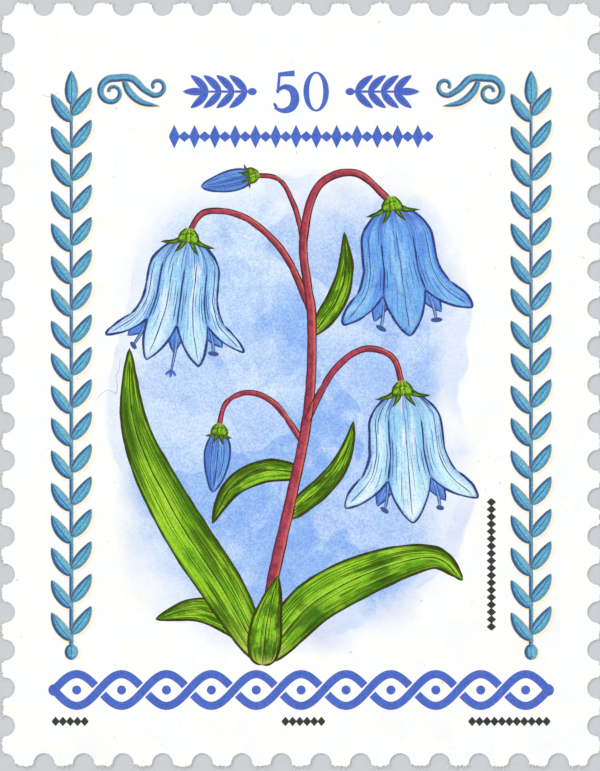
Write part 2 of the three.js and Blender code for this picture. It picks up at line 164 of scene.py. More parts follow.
class Print:
    """Closed films of ink that make one piece, with what the ink's material reads at each point."""

    FACTS = ("along", "across", "edge", "lit", "tone", "shade")
    LIGHT = (0.8, 0.6)

    def __init__(self):
        self.points = []
        self.faces = []
        self.facts = {name: [] for name in self.FACTS}
        self.count = 0
        self.films = 0

    def grid(self, place, level, **facts):
        """A film from a grid of places, rows along it and columns from its right to its left.

        Its top is at the level and its bottom just inside the paper, and quads round the rim close it. One
        film stands a hair higher than the last, so that no two that cross lie in one plane.
        """
        rows, columns = place.shape[:2]
        corner = place[1, 0] - place[0, 0], place[1, -1] - place[0, 0]
        if corner[0][0] * corner[1][1] - corner[0][1] * corner[1][0] < 0:
            place = place[:, ::-1]
            facts = {name: value[:, ::-1] if np.ndim(value) == 2 else value for name, value in facts.items()}
        top = self.count + np.arange(rows * columns).reshape(rows, columns)
        under = top + rows * columns
        rim = np.concatenate([top[:-1, 0], top[-1, :-1], top[:0:-1, -1], top[0, :0:-1]])
        after = np.roll(rim, -1)
        depth = rows * columns
        quads = [
            np.stack([top[:-1, :-1], top[1:, :-1], top[1:, 1:], top[:-1, 1:]], -1).reshape(-1, 4),
            np.stack([under[:-1, :-1], under[:-1, 1:], under[1:, 1:], under[1:, :-1]], -1).reshape(-1, 4),
            np.stack([after, rim, rim + depth, after + depth], -1),
        ]
        flat = place.reshape(-1, 2)
        for height in (level + HAIR * (self.films % HAIRS), FACE - 0.0006):
            self.points.append(np.column_stack([flat, np.full(len(flat), height)]))
        for name in self.FACTS:
            value = np.broadcast_to(facts.get(name, 0.0), (rows, columns)).ravel()
            self.facts[name] += [value, value]
        self.faces += quads
        self.count += 2 * depth
        self.films += 1

    def stroke(self, path, half, level, rows=32, columns=7, plain=False, **facts):
        """A stroke along a path: each row crosses it at right angles, a half width to either side.

        Edge is the distance in from its side or its nearer end, unless the stroke is plain, and lit is how
        far a point lies to the lit side.
        """
        t = (1 - np.cos(np.linspace(0, math.pi, rows))) / 2
        place, heading = walk(path, t)
        width = np.maximum(half(t), THINNEST)[:, None]
        across = np.linspace(-1, 1, columns)[None, :]
        left = np.stack([-heading[:, 1], heading[:, 0]], -1)
        points = place[:, None] + left[:, None] * (width * across)[..., None]
        from_end = np.minimum(t, 1 - t)[:, None] * length_of(path)
        edge = 1.0 if plain else np.minimum(width * (1 - np.abs(across)), from_end + 0 * across)
        lit = across * (left @ np.array(self.LIGHT))[:, None]
        along = t[:, None] + 0 * across
        self.grid(points, level, along=along, across=across + 0 * along, edge=edge, lit=lit, **facts)
        return points

    def piece(self, name, material, *nodes):
        """Puts the films into one object at the origin and says which nodes of the frame it stands for."""
        points = np.vstack(self.points)
        points[:, :2] += MIDDLE
        made = mesh_piece(name, points, np.vstack(self.faces).tolist(), material, *nodes)
        for fact, values in self.facts.items():
            data = made.data.attributes.new(fact, "FLOAT", "POINT")
            data.data.foreach_set("value", np.concatenate(values).astype(np.float32))


def placed(name, data):
    """An object of a mesh, a camera or a light, at the origin of the scene."""
    made = bpy.data.objects.new(name, data)
    bpy.context.scene.collection.objects.link(made)
    return made


def built(name, points, faces, material):
    """An object from points in millimetres and faces."""
    mesh = bpy.data.meshes.new(name)
    mesh.from_pydata((points * MM).tolist(), [], faces)
    mesh.materials.append(material)
    return placed(name, mesh)


def mesh_piece(name, points, faces, material, *nodes):
    """A piece that rides on the stamp's one body and may stand for nodes of the frame."""
    made = built(name, points, faces, material)
    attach(made, "root")
    if nodes:
        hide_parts(*nodes)
    return made


# Materials

class Value:
    """A number in a shader: each sum that is done on it makes the node that works it out."""

    def __init__(self, shader, socket):
        self.shader, self.socket = shader, socket

    def __add__(self, other):
        return self.shader.math("ADD", self, other)

    def __sub__(self, other):
        return self.shader.math("SUBTRACT", self, other)

    def __mul__(self, other):
        return self.shader.math("MULTIPLY", self, other)

    def __pow__(self, other):
        return self.shader.math("POWER", self, other)

    def __abs__(self):
        return self.shader.math("ABSOLUTE", self)

    def rise(self, start, end, high=1.0, low=0.0):
        """A smooth step of the value: low up to start, high from end on."""
        step = self.shader.node("MapRange", self, start, end, low, high, interpolation_type="SMOOTHSTEP")
        return Value(self.shader, step[0])


def most(*values):
    """The largest of several values."""
    return functools.reduce(lambda a, b: a.shader.math("MAXIMUM", a, b), values)


class Shader:
    """A node material in the making, with short calls for the nodes that the paper and the inks share.

    A colour is a socket or three screen values from 0 to 255, and coats are laid over the shader's own one.
    """

    def __init__(self, name, slot):
        self.material = bpy.data.materials.new(name)
        self.material["slot"] = slot
        self.material.use_nodes = True
        self.tree = self.material.node_tree
        self.surface = self.tree.nodes["Principled BSDF"].inputs
        self.place = self.vector("SCALE", self.node("TexCoord")["Object"], scale=1 / MM)

    def node(self, kind, *inputs, **settings):
        """The outputs of a new node, made with its settings and its first inputs, None for one left alone."""
        made = self.tree.nodes.new("ShaderNode" + kind)
        for key, value in settings.items():
            setattr(made, key, value)
        for socket, value in zip(made.inputs, inputs):
            if value is not None:
                self.feed(socket, value)
        return made.outputs

    def feed(self, socket, value):
        """Links a value or a socket to an input, or sets the input to a plain number."""
        if isinstance(value, Value):
            value = value.socket
        if isinstance(value, bpy.types.NodeSocket):
            self.tree.links.new(value, socket)
        else:
            socket.default_value = value

    def math(self, operation, a, b=0.0, clamp=False):
        """One sum of values, kept between 0 and 1 if it is clamped."""
        return Value(self, self.node("Math", a, b, operation=operation, use_clamp=clamp)[0])

    def vector(self, operation, a, b=None, scale=None):
        """One sum of places or colours, as a socket."""
        return self.node("VectorMath", a, b, None, scale, operation=operation)[0]

    def fact(self, name):
        """What an ink's film says of itself at a point."""
        return Value(self, self.node("Attribute", attribute_name=name)["Fac"])

    def noise(self, scale, detail=2.0, roughness=0.5, place=None, distortion=0.0):
        """Cloudy noise with about one cloud for each 1/scale mm."""
        place, unused = place or self.place, [None] * 3
        cloudy = self.node("TexNoise", place, None, scale, detail, roughness, *unused, distortion)
        return Value(self, cloudy[0])

    def brushed(self, across, along, tone, detail=3.0):
        """Noise drawn out along a stroke, as a brush or a pencil leaves it."""
        return self.noise(1.0, detail, 0.6, self.node("CombineXYZ", across, along, tone)[0])

    def mix(self, share, first, second, blend="MIX"):
        """The second colour over the first, by a share from 0 to 1."""
        colours = [srgb(*given) if isinstance(given, tuple) else given for given in (first, second)]
        return self.node("Mix", share, *[None] * 5, *colours, data_type="RGBA", blend_type=blend)[2]

    def coat(self, colour, share):
        """Lays a colour over the shader's own."""
        self.colour = self.mix(share, self.colour, colour)

    def bump(self, height, distance, strength=1.0, normal=None):
        """A relief as deep as the distance in millimetres, over another one if its normal is given."""
        return self.node("Bump", strength, distance * MM, None, height, normal)[0]

    def finish(self, colour, normal, roughness, specular=0.1):
        """Gives the surface its look and returns the material."""
        self.feed(self.surface["Base Color"], colour)
        self.feed(self.surface["Normal"], normal)
        self.feed(self.surface["Roughness"], roughness)
        self.feed(self.surface["Specular IOR Level"], specular)
        return self.material

    def finish_ink(self, grain):
        """A dull ink that has sunk into the paper, with the grain of the print."""
        return self.finish(print_grain(self, grain), paper_tooth(self, 0.8), 0.65)


def paper_white(shader):
    """The paper's colour: nearly pure white, mottled warm and cool, with greyer fibres and a few specks."""
    mottling = shader.noise(0.8, 3.0, 0.6).rise(0.38, 0.62)
    mottled = shader.mix(mottling, (255, 254, 250), (251, 253, 255))
    clouds = shader.noise(0.35, 3.0, 0.6).rise(0.46, 0.78, 0.4)
    streaks = shader.noise(2.2, 3.0, 0.7, distortion=2.5).rise(0.58, 0.72, 0.65)
    greyed = shader.mix(most(clouds, streaks), mottled, (243, 243, 240))
    specks = shader.noise(3.1, 1.0).rise(0.785, 0.81, 0.6)
    return shader.mix(specks, greyed, (208, 206, 200))


def paper_tooth(shader, strength=1.0):
    """The fine relief of felted fibres: a wandering mesh of fibres over a softer unevenness."""
    felt = shader.noise(5.5, 4.0, 0.65, distortion=1.6)
    return shader.bump(felt + shader.noise(16.0, 2.0, 0.6) * 0.35, 0.010, strength)


def print_grain(shader, amount):
    """The ink laid down in random dots: lighter flecks where paper shows and darker ones where dots meet."""
    dots = shader.noise(13.0, 2.0, 0.7)
    thin = shader.vector("MINIMUM", shader.vector("SCALE", shader.colour, scale=1.7), (1, 1, 1))
    lightened = shader.mix(dots.rise(0.50, 0.64, amount), shader.colour, thin)
    return shader.mix(dots.rise(0.50, 0.36, amount), lightened, (150, 165, 200), "MULTIPLY")


def make_paper():
    """White paper with its mottling and its tooth."""
    shader = Shader("stamp_paper", "paper")
    return shader.finish(paper_white(shader), paper_tooth(shader), 0.85)


def make_fibre(name, pale, grey):
    """A loose fibre, uneven along its length."""
    shader = Shader(name, "paper")
    return shader.finish(shader.mix(shader.noise(6.0), pale, grey), paper_tooth(shader, 0.4), 0.9)


def make_gum():
    """Dried gum: nearly clear over the white paper, low gloss, with fine breaker ridges across it."""
    shader = Shader("dried_gum", "gum")
    diagonal = {"wave_type": "BANDS", "bands_direction": "DIAGONAL"}
    ridges = shader.node("TexWave", shader.place, 0.28, 0.6, 1.0, **diagonal)["Fac"]
    colour = shader.mix(shader.noise(0.5, 3.0), (247, 244, 232), (238, 233, 214))
    ripple = shader.bump(ridges, 0.02, 0.6)
    return shader.finish(colour, shader.bump(shader.noise(7.0, 3.0), 0.004, 0.8, ripple), 0.38, 0.5)


def make_wash():
    """A watercolour wash: cloudy pale blues inside a wandering rounded box, fading out to the white paper.

    How far out a place lies is (|x|^p + |y|^p)^(1/p), in shares of the wash's reach. Its outer edge dried
    firm in places, and two later brushfuls lie over it, densest along their own edges.
    """
    shader = Shader("pale_wash", "wash_ink")
    centre = (MIDDLE[0] + WASH["x"], MIDDLE[1] + WASH["y"], 0.0)
    reach, power = (WASH["reach_x"], WASH["reach_y"], 1.0), 3.2
    shares = shader.vector("DIVIDE", shader.vector("SUBTRACT", shader.place, centre), reach)
    x, y, _ = (Value(shader, socket) for socket in shader.node("SeparateXYZ", shares))
    out = (abs(x) ** power + abs(y) ** power) ** (1 / power)
    beside = lambda right, up: shader.vector("ADD", shader.place, (right, up, 0.0))
    ragged = out + (shader.noise(0.22, 4.0, 0.55) - 0.5) * 0.5
    wet = out + (shader.noise(0.20, 3.0, 0.5, beside(3.1, 8.4)) - 0.5) * 0.45
    firm = shader.noise(0.12, 1.0, 0.5, beside(1.7, 5.2)).rise(0.44, 0.56, 0.42, 0.04)
    density = most(ragged.rise(0.97, 0.66), wet.rise(0.92, 0.90) * firm) * out.rise(0.975, 0.93)
    pools = shader.noise(0.16, 3.0, 0.5, beside(7.3, 2.1)) + (x * 0.16 - y * 0.10)
    clouds = shader.noise(0.5, 4.0, 0.6, distortion=0.8)
    shader.colour = shader.mix(x.rise(0.0, -0.8), (210, 231, 254), (198, 225, 252))
    shader.coat((146, 185, 247), pools.rise(0.35, 0.57))
    shader.coat((146, 184, 246), clouds.rise(0.52, 0.66, 0.5))
    shader.coat((214, 232, 255), clouds.rise(0.48, 0.34, 0.55))
    for right, up, full, glaze in ((12.6, 4.9, 0.55, (138, 176, 243)), (5.5, 21.3, 0.50, (206, 226, 255))):
        covered = shader.noise(0.14, 3.0, 0.45, beside(right, up), 0.4)
        shader.coat(glaze, covered.rise(0.500, 0.512) * covered.rise(0.70, 0.50, full, 0.25))
    shader.coat((226, 238, 254), shader.noise(1.1, 4.0, 0.7).rise(0.45, 0.8, 0.35))
    colour = shader.mix(density, paper_white(shader), print_grain(shader, 0.30))
    return shader.finish(colour, paper_tooth(shader, 0.9), 0.8)


def make_petal():
    """Blue petals: deep at the neck and the sides, pale down each lobe's middle, with brushed streaks."""
    shader = Shader("petal_blue", "petal_ink")
    along, across, lobe, tone, shade = map(shader.fact, ("along", "across", "lit", "tone", "shade"))
    brush = shader.brushed(across * 9.0, along * 1.6, tone)
    broad = shader.brushed(across * 4.0, along * 1.2, tone)
    fine = shader.brushed(across * 34.0, along * 3.0, tone, 2.0)
    glossy = shader.brushed(across * 6.0, along * 3.2, tone + 5.0)
    mottle = shader.noise(1.3, 3.0, 0.6, distortion=0.6)
    deep, patchy = shade.rise(0.0, 0.4), broad.rise(0.42, 0.62)
    light_sky = shader.mix(patchy, (172, 226, 250), (142, 204, 246))
    deep_sky = shader.mix(patchy, (126, 194, 255), (94, 150, 238))
    pale = shader.mix(deep, (214, 246, 253), (142, 208, 255))
    shine = shader.mix(deep, (240, 252, 254), (186, 232, 255))
    shader.colour = shader.mix(deep, light_sky, deep_sky)
    paleness = lobe.rise(0.15, 0.95) * along.rise(0.15, 0.75) + (brush - 0.5) * 1.6
    shader.coat(pale, shader.math("ADD", paleness, 0.08, True))
    shader.coat(shader.mix(deep, (138, 194, 246), (88, 134, 228)), mottle.rise(0.55, 0.66, 0.45))
    shader.coat(shine, glossy.rise(0.50, 0.38) * lobe.rise(0.25, 0.75, 0.85) * shade.rise(1.1, 0.0))
    neck, sides = along.rise(0.34, 0.02, 0.9), abs(across).rise(0.62, 1.05, 0.7)
    depth = most(neck, sides, lobe.rise(0.34, 0.0, 0.8), shade) * brush.rise(0.28, 0.66, 1.0, 0.3)
    shader.coat((64, 92, 196), depth * shade.rise(0.0, 0.4, 1.0, 0.68))
    shader.coat((66, 86, 178), fine.rise(0.57, 0.68, 0.4))
    shader.coat(pale, fine.rise(0.42, 0.30, 0.6))
    shader.coat((68, 84, 176), shader.fact("edge").rise(0.14, 0.0, 0.55))
    return shader.finish_ink(0.28)


def make_leaf():
    """Green leaves: yellow-green with darker bands, soft folds, parallel veins and shading on one side."""
    shader = Shader("leaf_green", "leaf_ink")
    along, across, edge, tone = map(shader.fact, ("along", "across", "edge", "tone"))
    band = shader.brushed(across * 3.0, along * 5.0, tone)
    vein = shader.brushed(across * 16.0, along * 2.2, tone, 2.0)
    fold = shader.brushed(across * 0.9, along * 4.6, tone + 17.0, 2.0)
    patch = shader.brushed(across * 2.0, along * 3.4, tone + 9.0)
    rib = 0.06
    shader.colour = shader.mix(band.rise(0.42, 0.64), (150, 210, 42), (102, 170, 28))
    shader.coat((54, 106, 12), across.rise(0.02, -0.85, 0.9) * band.rise(0.3, 0.6, 1.0, 0.4))
    shader.coat((54, 102, 18), fold.rise(0.50, 0.60, 0.75))
    shader.coat((176, 222, 60), fold.rise(0.47, 0.36, 0.5))
    shader.coat((54, 94, 4), vein.rise(0.54, 0.66, 0.5))
    shader.coat((180, 226, 58), vein.rise(0.44, 0.32, 0.45))
    shader.coat((44, 72, 4), patch.rise(0.52, 0.64) * vein.rise(0.36, 0.52, 0.85, 0.35))
    shader.coat((190, 224, 84), abs(across - rib).rise(0.08, 0.0, 0.55))
    shader.coat((44, 72, 4), edge.rise(0.14, 0.0, 0.8))
    shader.coat((206, 220, 96), (along + (vein - 0.5) * 0.15).rise(0.14, 0.0, 0.7))
    return shader.finish_ink(0.26)


def make_stalk():
    """Crimson stalks with an orange-red light along one side and darker mottling."""
    shader = Shader("stalk_red", "stalk_ink")
    lit = shader.fact("lit")
    mottling = shader.noise(2.6, 3.0, 0.6).rise(0.35, 0.65)
    shader.colour = shader.mix(mottling, (184, 72, 92), (142, 54, 74))
    shader.coat((226, 124, 96), lit.rise(0.10, 0.70, 0.8))
    shader.coat((102, 38, 44), lit.rise(-0.2, -0.85, 0.8))
    shader.coat((88, 42, 36), shader.fact("edge").rise(0.05, 0.0, 0.6))
    return shader.finish_ink(0.28)


def make_frame_ink():
    """Teal ornament modelled in print: a dark slate edge on the shaded side and a light one on the other."""
    shader = Shader("frame_teal", "frame_ink")
    lit, edge = shader.fact("lit"), shader.fact("edge")
    side = lit.rise(0.3, -0.3, 1.0, 0.4)
    shader.colour = shader.mix(shader.noise(0.9), (98, 172, 205), (112, 184, 208))
    shader.coat((150, 208, 222), lit.rise(0.20, 0.90, 0.9))
    shader.coat((70, 120, 180), lit.rise(-0.05, -0.6, 0.85))
    shader.coat((46, 88, 138), edge.rise(0.19, 0.06) * side)
    shader.coat((170, 146, 114), edge.rise(0.034, 0.012) * side)
    return shader.finish_ink(0.36)


def make_frame_shadow():
    """A cream shadow printed under the ornament, which fades out to the white paper."""
    shader = Shader("cream_shadow", "frame_ink")
    shader.colour = paper_white(shader)
    cream = shader.mix(shader.noise(3.0, 3.0, 0.6), (255, 240, 206), (255, 246, 224))
    shader.coat(cream, shader.fact("edge").rise(0.0, 0.10))
    return shader.finish_ink(0.1)


def make_plain_ink(name, slot, colour, deep, fringe, grain):
    """A plain ink, with more of it pressed out to the edges and a fringe of its second colour on one side."""
    shader = Shader(name, slot)
    edge = shader.fact("edge")
    shader.colour = shader.mix(shader.noise(1.4, 3.0), colour, deep)
    shader.coat(deep, edge.rise(0.035, 0.0, 0.5))
    shader.coat(fringe, edge.rise(0.07, 0.0) * shader.fact("lit").rise(0.3, -0.5, 0.7))
    return shader.finish_ink(grain)


def make_line(name, slot, dark, light):
    """Drawn lines from dark to light by their tone, and lighter where the grain of the paper stands up."""
    shader = Shader(name, slot)
    grain = shader.noise(14.0, 2.0, 0.6).rise(0.5, 0.7, 0.5)
    shader.colour = shader.mix(most(shader.fact("tone"), grain), dark, light)
    return shader.finish_ink(0.15)


PAPER = make_paper()
TORN_FIBRE = make_fibre("torn_fibre", (252, 252, 250), (222, 225, 225))
GREY_LINT = make_fibre("grey_lint_fibre", (206, 200, 212), (160, 158, 172))
PINK_LINT = make_fibre("pink_lint_fibre", (224, 176, 212), (200, 160, 196))
GUM = make_gum()
WASH_INK = make_wash()
PETAL = make_petal()
LEAF = make_leaf()
STALK = make_stalk()
FRAME_INK = make_frame_ink()
FRAME_SHADOW = make_frame_shadow()
NUMERAL = make_plain_ink("numeral_blue", "numeral_ink", (86, 118, 206), (70, 98, 188), (116, 92, 190), 0.25)
IMPRINT = make_plain_ink("imprint_black", "imprint_ink", (70, 70, 68), (48, 48, 46), (60, 52, 66), 0.1)
PENCIL = make_line("indigo_pencil", "petal_ink", (38, 50, 110), (100, 136, 210))
LEAF_LINE = make_line("olive_line", "leaf_ink", (56, 42, 12), (76, 124, 12))
STALK_LINE = make_line("brown_line", "stalk_ink", (60, 24, 24), (124, 46, 48))
FRAME_LINE = make_line("slate_line", "frame_ink", (48, 84, 126), (80, 124, 168))
NUMERAL_LINE = make_line("deep_blue_line", "numeral_ink", (54, 76, 150), (70, 98, 184))


# The sheet and its gum

SIDES = (  # corner, heading, pitches and pitch of each side, run anticlockwise
    ((-HALF_WIDTH, -HALF_HEIGHT), (1, 0), PITCHES_ACROSS, PITCH_X),
    ((HALF_WIDTH, -HALF_HEIGHT), (0, 1), PITCHES_UP, PITCH_Y),
    ((HALF_WIDTH, HALF_HEIGHT), (-1, 0), PITCHES_ACROSS, PITCH_X),
    ((-HALF_WIDTH, HALF_HEIGHT), (0, -1), PITCHES_UP, PITCH_Y),
)
ARC_STEPS = 24
TEAR_STEPS = 15
TEAR_SHARES = (np.arange(TEAR_STEPS) + 0.5) / TEAR_STEPS
PAPER_RIM = (  # inset, further inset where the sheet tore, and height
    (0.008, 0.034, FACE), (0.003, 0.014, FACE - 0.004), (0.0, 0.002, FACE - 0.02),
    (0.0, 0.0, UNDERSIDE + 0.03), (0.003, 0.010, UNDERSIDE + 0.008), (0.006, 0.026, UNDERSIDE),
)
GUM_RIM = (  # the same: the gum ends a hair inside the paper's edge and thins towards it
    (0.012, 0.03, UNDERSIDE - 0.0004), (0.014, 0.03, UNDERSIDE / 2), (0.03, 0.03, 0.0),
)

# Fibres of a tooth, of a hole and of a side: millimetres and radians, but turns in half circles
TORN = {"count": 105, "rooted": (0.005, 0.06), "fan": 0.9, "stray": 0.7, "usual": 0.062, "bend": 0.9,
        "shortest": 0.03, "longest": 0.36, "radii": (0.005, 0.012), "full_radius_at": 0.08}
NAP = {"count": 14, "turns": (0.08, 0.92), "first_turns": (0.04, 0.46), "rooted": 0.012, "stray": 0.6,
       "lengths": (0.02, 0.075), "bend": 0.7, "radii": (0.004, 0.007)}
LONG = {"count": 4, "before_hole": 0.02, "rooted": (0.01, 0.22), "stray": 0.3, "lengths": (0.45, 0.95),
        "bend": 0.6, "radius": 0.006}


def torn_draws(seed=11):
    """Random numbers from 0 to 1 by the rule that the frame's torn teeth follow."""
    while True:
        seed = seed * 48271 % 2147483647
        yield seed / 2147483647


def torn_heights(draws, teeth):
    """Heights of the torn points, three to a tooth, with the tallest on a side at the full reach."""
    drawn = np.array([next(draws) for _ in range(teeth * TORN_POINTS)])
    heights = SHORTEST_TEAR + (1 - SHORTEST_TEAR) * drawn
    return (TORN_REACH * heights / heights.max()).reshape(teeth, TORN_POINTS)


def side_places(side, along, inward):
    """Places on a side of the sheet, from distances along it and into the sheet."""
    (x, y), (hx, hy), _, _ = side
    return np.stack([x + hx * along - hy * inward, y + hy * along + hx * inward], -1)


def perforated_outline(rng):
    """The sheet's outline, a share of tear at each place of it, and the heights along each side's teeth.

    Every pitch is half a circle punched into the sheet, a little uneven, and then a torn tooth. Its ragged
    edge runs through the frame's torn points with a little more roughness.
    """
    draws = torn_draws()
    knots = np.concatenate([[0], (np.arange(TORN_POINTS) + 0.5) / TORN_POINTS, [1]])
    angle = np.linspace(math.pi, 0, ARC_STEPS + 1)[None, :]
    places, tears, teeth = [], [], []
    for side in SIDES:
        pitches, pitch = side[2:]
        start = np.arange(pitches)[:, None] * pitch
        padded = np.pad(torn_heights(draws, pitches), ((0, 0), (1, 1)))
        ragged = np.stack([np.interp(TEAR_SHARES, knots, heights) for heights in padded])
        ragged = np.clip(ragged + rng.normal(0, TEAR_ROUGHNESS, ragged.shape), LEAST_TEAR, TORN_REACH)
        radius = HOLE_RADIUS + rng.normal(0, HOLE_UNEVENNESS, (pitches, ARC_STEPS + 1))
        tooth = pitch - 2 * HOLE_RADIUS
        along = np.hstack([start + radius * np.cos(angle), start + HOLE_RADIUS + tooth * TEAR_SHARES])
        inward = np.hstack([radius * np.sin(angle), -ragged])
        torn = np.hstack([np.zeros((pitches, ARC_STEPS + 1)), np.ones((pitches, TEAR_STEPS))])
        first = ARC_STEPS // 2
        places.append(side_places(side, along.ravel()[first:], inward.ravel()[first:]))
        tears.append(torn.ravel()[first:])
        teeth.append(ragged)
    return np.vstack(places), np.concatenate(tears), teeth


def outward_of(outline):
    """Unit directions out of an anticlockwise outline: its heading across two steps, turned to the right."""
    heading = np.roll(outline, -2, axis=0) - np.roll(outline, 2, axis=0)
    heading /= np.maximum(np.linalg.norm(heading, axis=1, keepdims=True), 1e-9)
    return np.stack([heading[:, 1], -heading[:, 0]], -1)


def edged_sheet(name, outline, torn, rim, material, *nodes):
    """A flat sheet whose rim is a profile carried round its outline, in rings from the top face down."""
    outward = outward_of(outline)
    count = len(outline)
    rings = [np.column_stack([outline + MIDDLE - outward * (inset + more * torn)[:, None], [height] * count])
             for inset, more, height in rim]
    ring = np.arange(len(rings) * count).reshape(len(rings), count)
    after = np.roll(ring, -1, axis=1)
    walls = np.stack([ring[:-1], ring[1:], after[1:], after[:-1]], -1).reshape(-1, 4)
    faces = [ring[0].tolist(), ring[-1, ::-1].tolist(), *walls.tolist()]
    return mesh_piece(name, np.vstack(rings), faces, material, *nodes)


def make_sheet(outline, torn, rng):
    """The paper: crisp at the punched holes, feathered thinner where it tore."""
    feather = torn * rng.uniform(0.4, 1.6, len(torn))
    edged_sheet("stamp_paper_sheet", outline, feather, PAPER_RIM, PAPER, "paper_sheet")


# Fibres

def tubes(name, spine, radius, material):
    """Three-sided tubes round many paths at once, with a place in spine for each path and step.

    A ring's corners lie at 90, 210 and 330 degrees round the path, in the upright plane across its heading.
    """
    heading = np.gradient(spine[..., :2], axis=1)
    heading /= np.maximum(np.linalg.norm(heading, axis=-1, keepdims=True), 1e-9)
    left = np.stack([-heading[..., 1], heading[..., 0], 0 * heading[..., 0]], -1)
    corner = np.radians([90, 210, 330])
    reach = radius[..., None, None]
    ring = left[..., None, :] * np.cos(corner)[:, None] + np.array([0, 0, 1]) * np.sin(corner)[:, None]
    points = spine[..., None, :] + reach * ring
    points[..., :2] += MIDDLE
    index = np.arange(points[..., 0].size).reshape(points.shape[:-1])
    turned = np.roll(index, -1, axis=2)
    walls = np.stack([index[:, :-1], turned[:, :-1], turned[:, 1:], index[:, 1:]], -1).reshape(-1, 4)
    faces = [*walls.tolist(), *index[:, 0, ::-1].tolist(), *index[:, -1].tolist()]
    return mesh_piece(name, points.reshape(-1, 3), faces, material)


def bent_fibres(name, root, heading, length, radius, bend, steps, rng):
    """Fibres that start inside the paper's thickness: each turns by its bend and thins towards its tip."""
    share = np.linspace(0, 1, steps + 1)[None, :]
    angle = heading[:, None] + bend[:, None] * share**1.5
    stride = (length / steps)[:, None, None]
    moves = np.stack([np.cos(angle), np.sin(angle)], -1) * stride
    flat = root[:, None] + np.cumsum(moves, axis=1) - moves[:, :1]
    start = rng.uniform(UNDERSIDE + 0.012, FACE - 0.012, len(root))
    end = np.clip(start + rng.normal(0, 0.02, len(root)), radius.max(), FACE - radius.max())
    height = start[:, None] + (end - start)[:, None] * share
    spine = np.concatenate([flat, height[..., None]], -1)
    tubes(name, spine, radius[:, None] * (1 - 0.7 * share**2), TORN_FIBRE)


def along_teeth(side, share):
    """Distances along a side at shares across each of its teeth, one row a tooth."""
    pitches, pitch = side[2:]
    return np.arange(pitches)[:, None] * pitch + HOLE_RADIUS + (pitch - 2 * HOLE_RADIUS) * share


def make_torn_fibres(teeth, rng):
    """Fibres pulled out of the sheet along every tear: mostly short, fanned out from each tooth."""
    for name, pair in (("torn_fibres_across", (0, 2)), ("torn_fibres_up", (1, 3))):
        roots, headings = [], []
        for side, ragged in ((SIDES[k], teeth[k]) for k in pair):
            share = rng.uniform(0.01, 0.99, (len(ragged), TORN["count"]))
            edge = np.stack([np.interp(across, TEAR_SHARES, tears) for across, tears in zip(share, ragged)])
            inward = rng.uniform(*TORN["rooted"], share.shape) - edge
            roots.append(side_places(side, along_teeth(side, share).ravel(), inward.ravel()))
            outwards = math.atan2(-side[1][0], side[1][1])
            fan = TORN["fan"] * (share - 0.5) + rng.normal(0, TORN["stray"], share.shape)
            headings.append(outwards + fan.ravel())
        root, heading = np.vstack(roots), np.concatenate(headings)
        length = np.clip(rng.gamma(2.0, TORN["usual"], len(root)), TORN["shortest"], TORN["longest"])
        radius = rng.uniform(*TORN["radii"], len(root)) * np.clip(length / TORN["full_radius_at"], 0.6, 1)
        bend = rng.normal(0, TORN["bend"], len(root))
        bent_fibres(name, root, heading, length, radius, bend, 4, rng)


def make_hole_fibres(rng):
    """A short nap round the punched holes, and a few long fibres that cross them from a tooth's corner."""
    roots, headings, lengths, bends = [], [], [], []
    for side in SIDES:
        pitches, pitch = side[2:]
        turn = rng.uniform(*NAP["turns"], (pitches, NAP["count"])) * math.pi
        turn[0] = rng.uniform(*NAP["first_turns"], NAP["count"]) * math.pi
        reach = HOLE_RADIUS + NAP["rooted"]
        along = np.arange(pitches)[:, None] * pitch + reach * np.cos(turn)
        roots.append(side_places(side, along.ravel(), (reach * np.sin(turn)).ravel()))
        forward = math.atan2(side[1][1], side[1][0])
        headings.append((forward + turn + math.pi + rng.normal(0, NAP["stray"], turn.shape)).ravel())
        lengths.append(rng.uniform(*NAP["lengths"], turn.size))
        bends.append(rng.normal(0, NAP["bend"], turn.size))
        chosen = rng.choice(np.arange(1, pitches), LONG["count"], replace=False)
        along = chosen * pitch - HOLE_RADIUS - LONG["before_hole"]
        roots.append(side_places(side, along, rng.uniform(*LONG["rooted"], LONG["count"])))
        headings.append(forward + rng.normal(0, LONG["stray"], LONG["count"]))
        lengths.append(rng.uniform(*LONG["lengths"], LONG["count"]))
        bends.append(rng.normal(0, LONG["bend"], LONG["count"]))
    root, length = np.vstack(roots), np.concatenate(lengths)
    thin = rng.uniform(*NAP["radii"], len(root))
    radius = np.where(length < LONG["lengths"][0], thin, LONG["radius"])
    bent_fibres("hole_fibres", root, np.concatenate(headings), length, radius, np.concatenate(bends), 8, rng)


def make_loose_fibre(name, places, radius, material):
    """A fibre of lint that lies on the printed face, along given places."""
    path = through(*places)
    spine = np.column_stack([path, np.full(len(path), INK_TOP - radius)])[None]
    share = np.linspace(0, 1, len(path))[None, :]
    tubes(name, spine, radius * (0.6 + 0.4 * np.sin(math.pi * share)), material)


# The flower spray

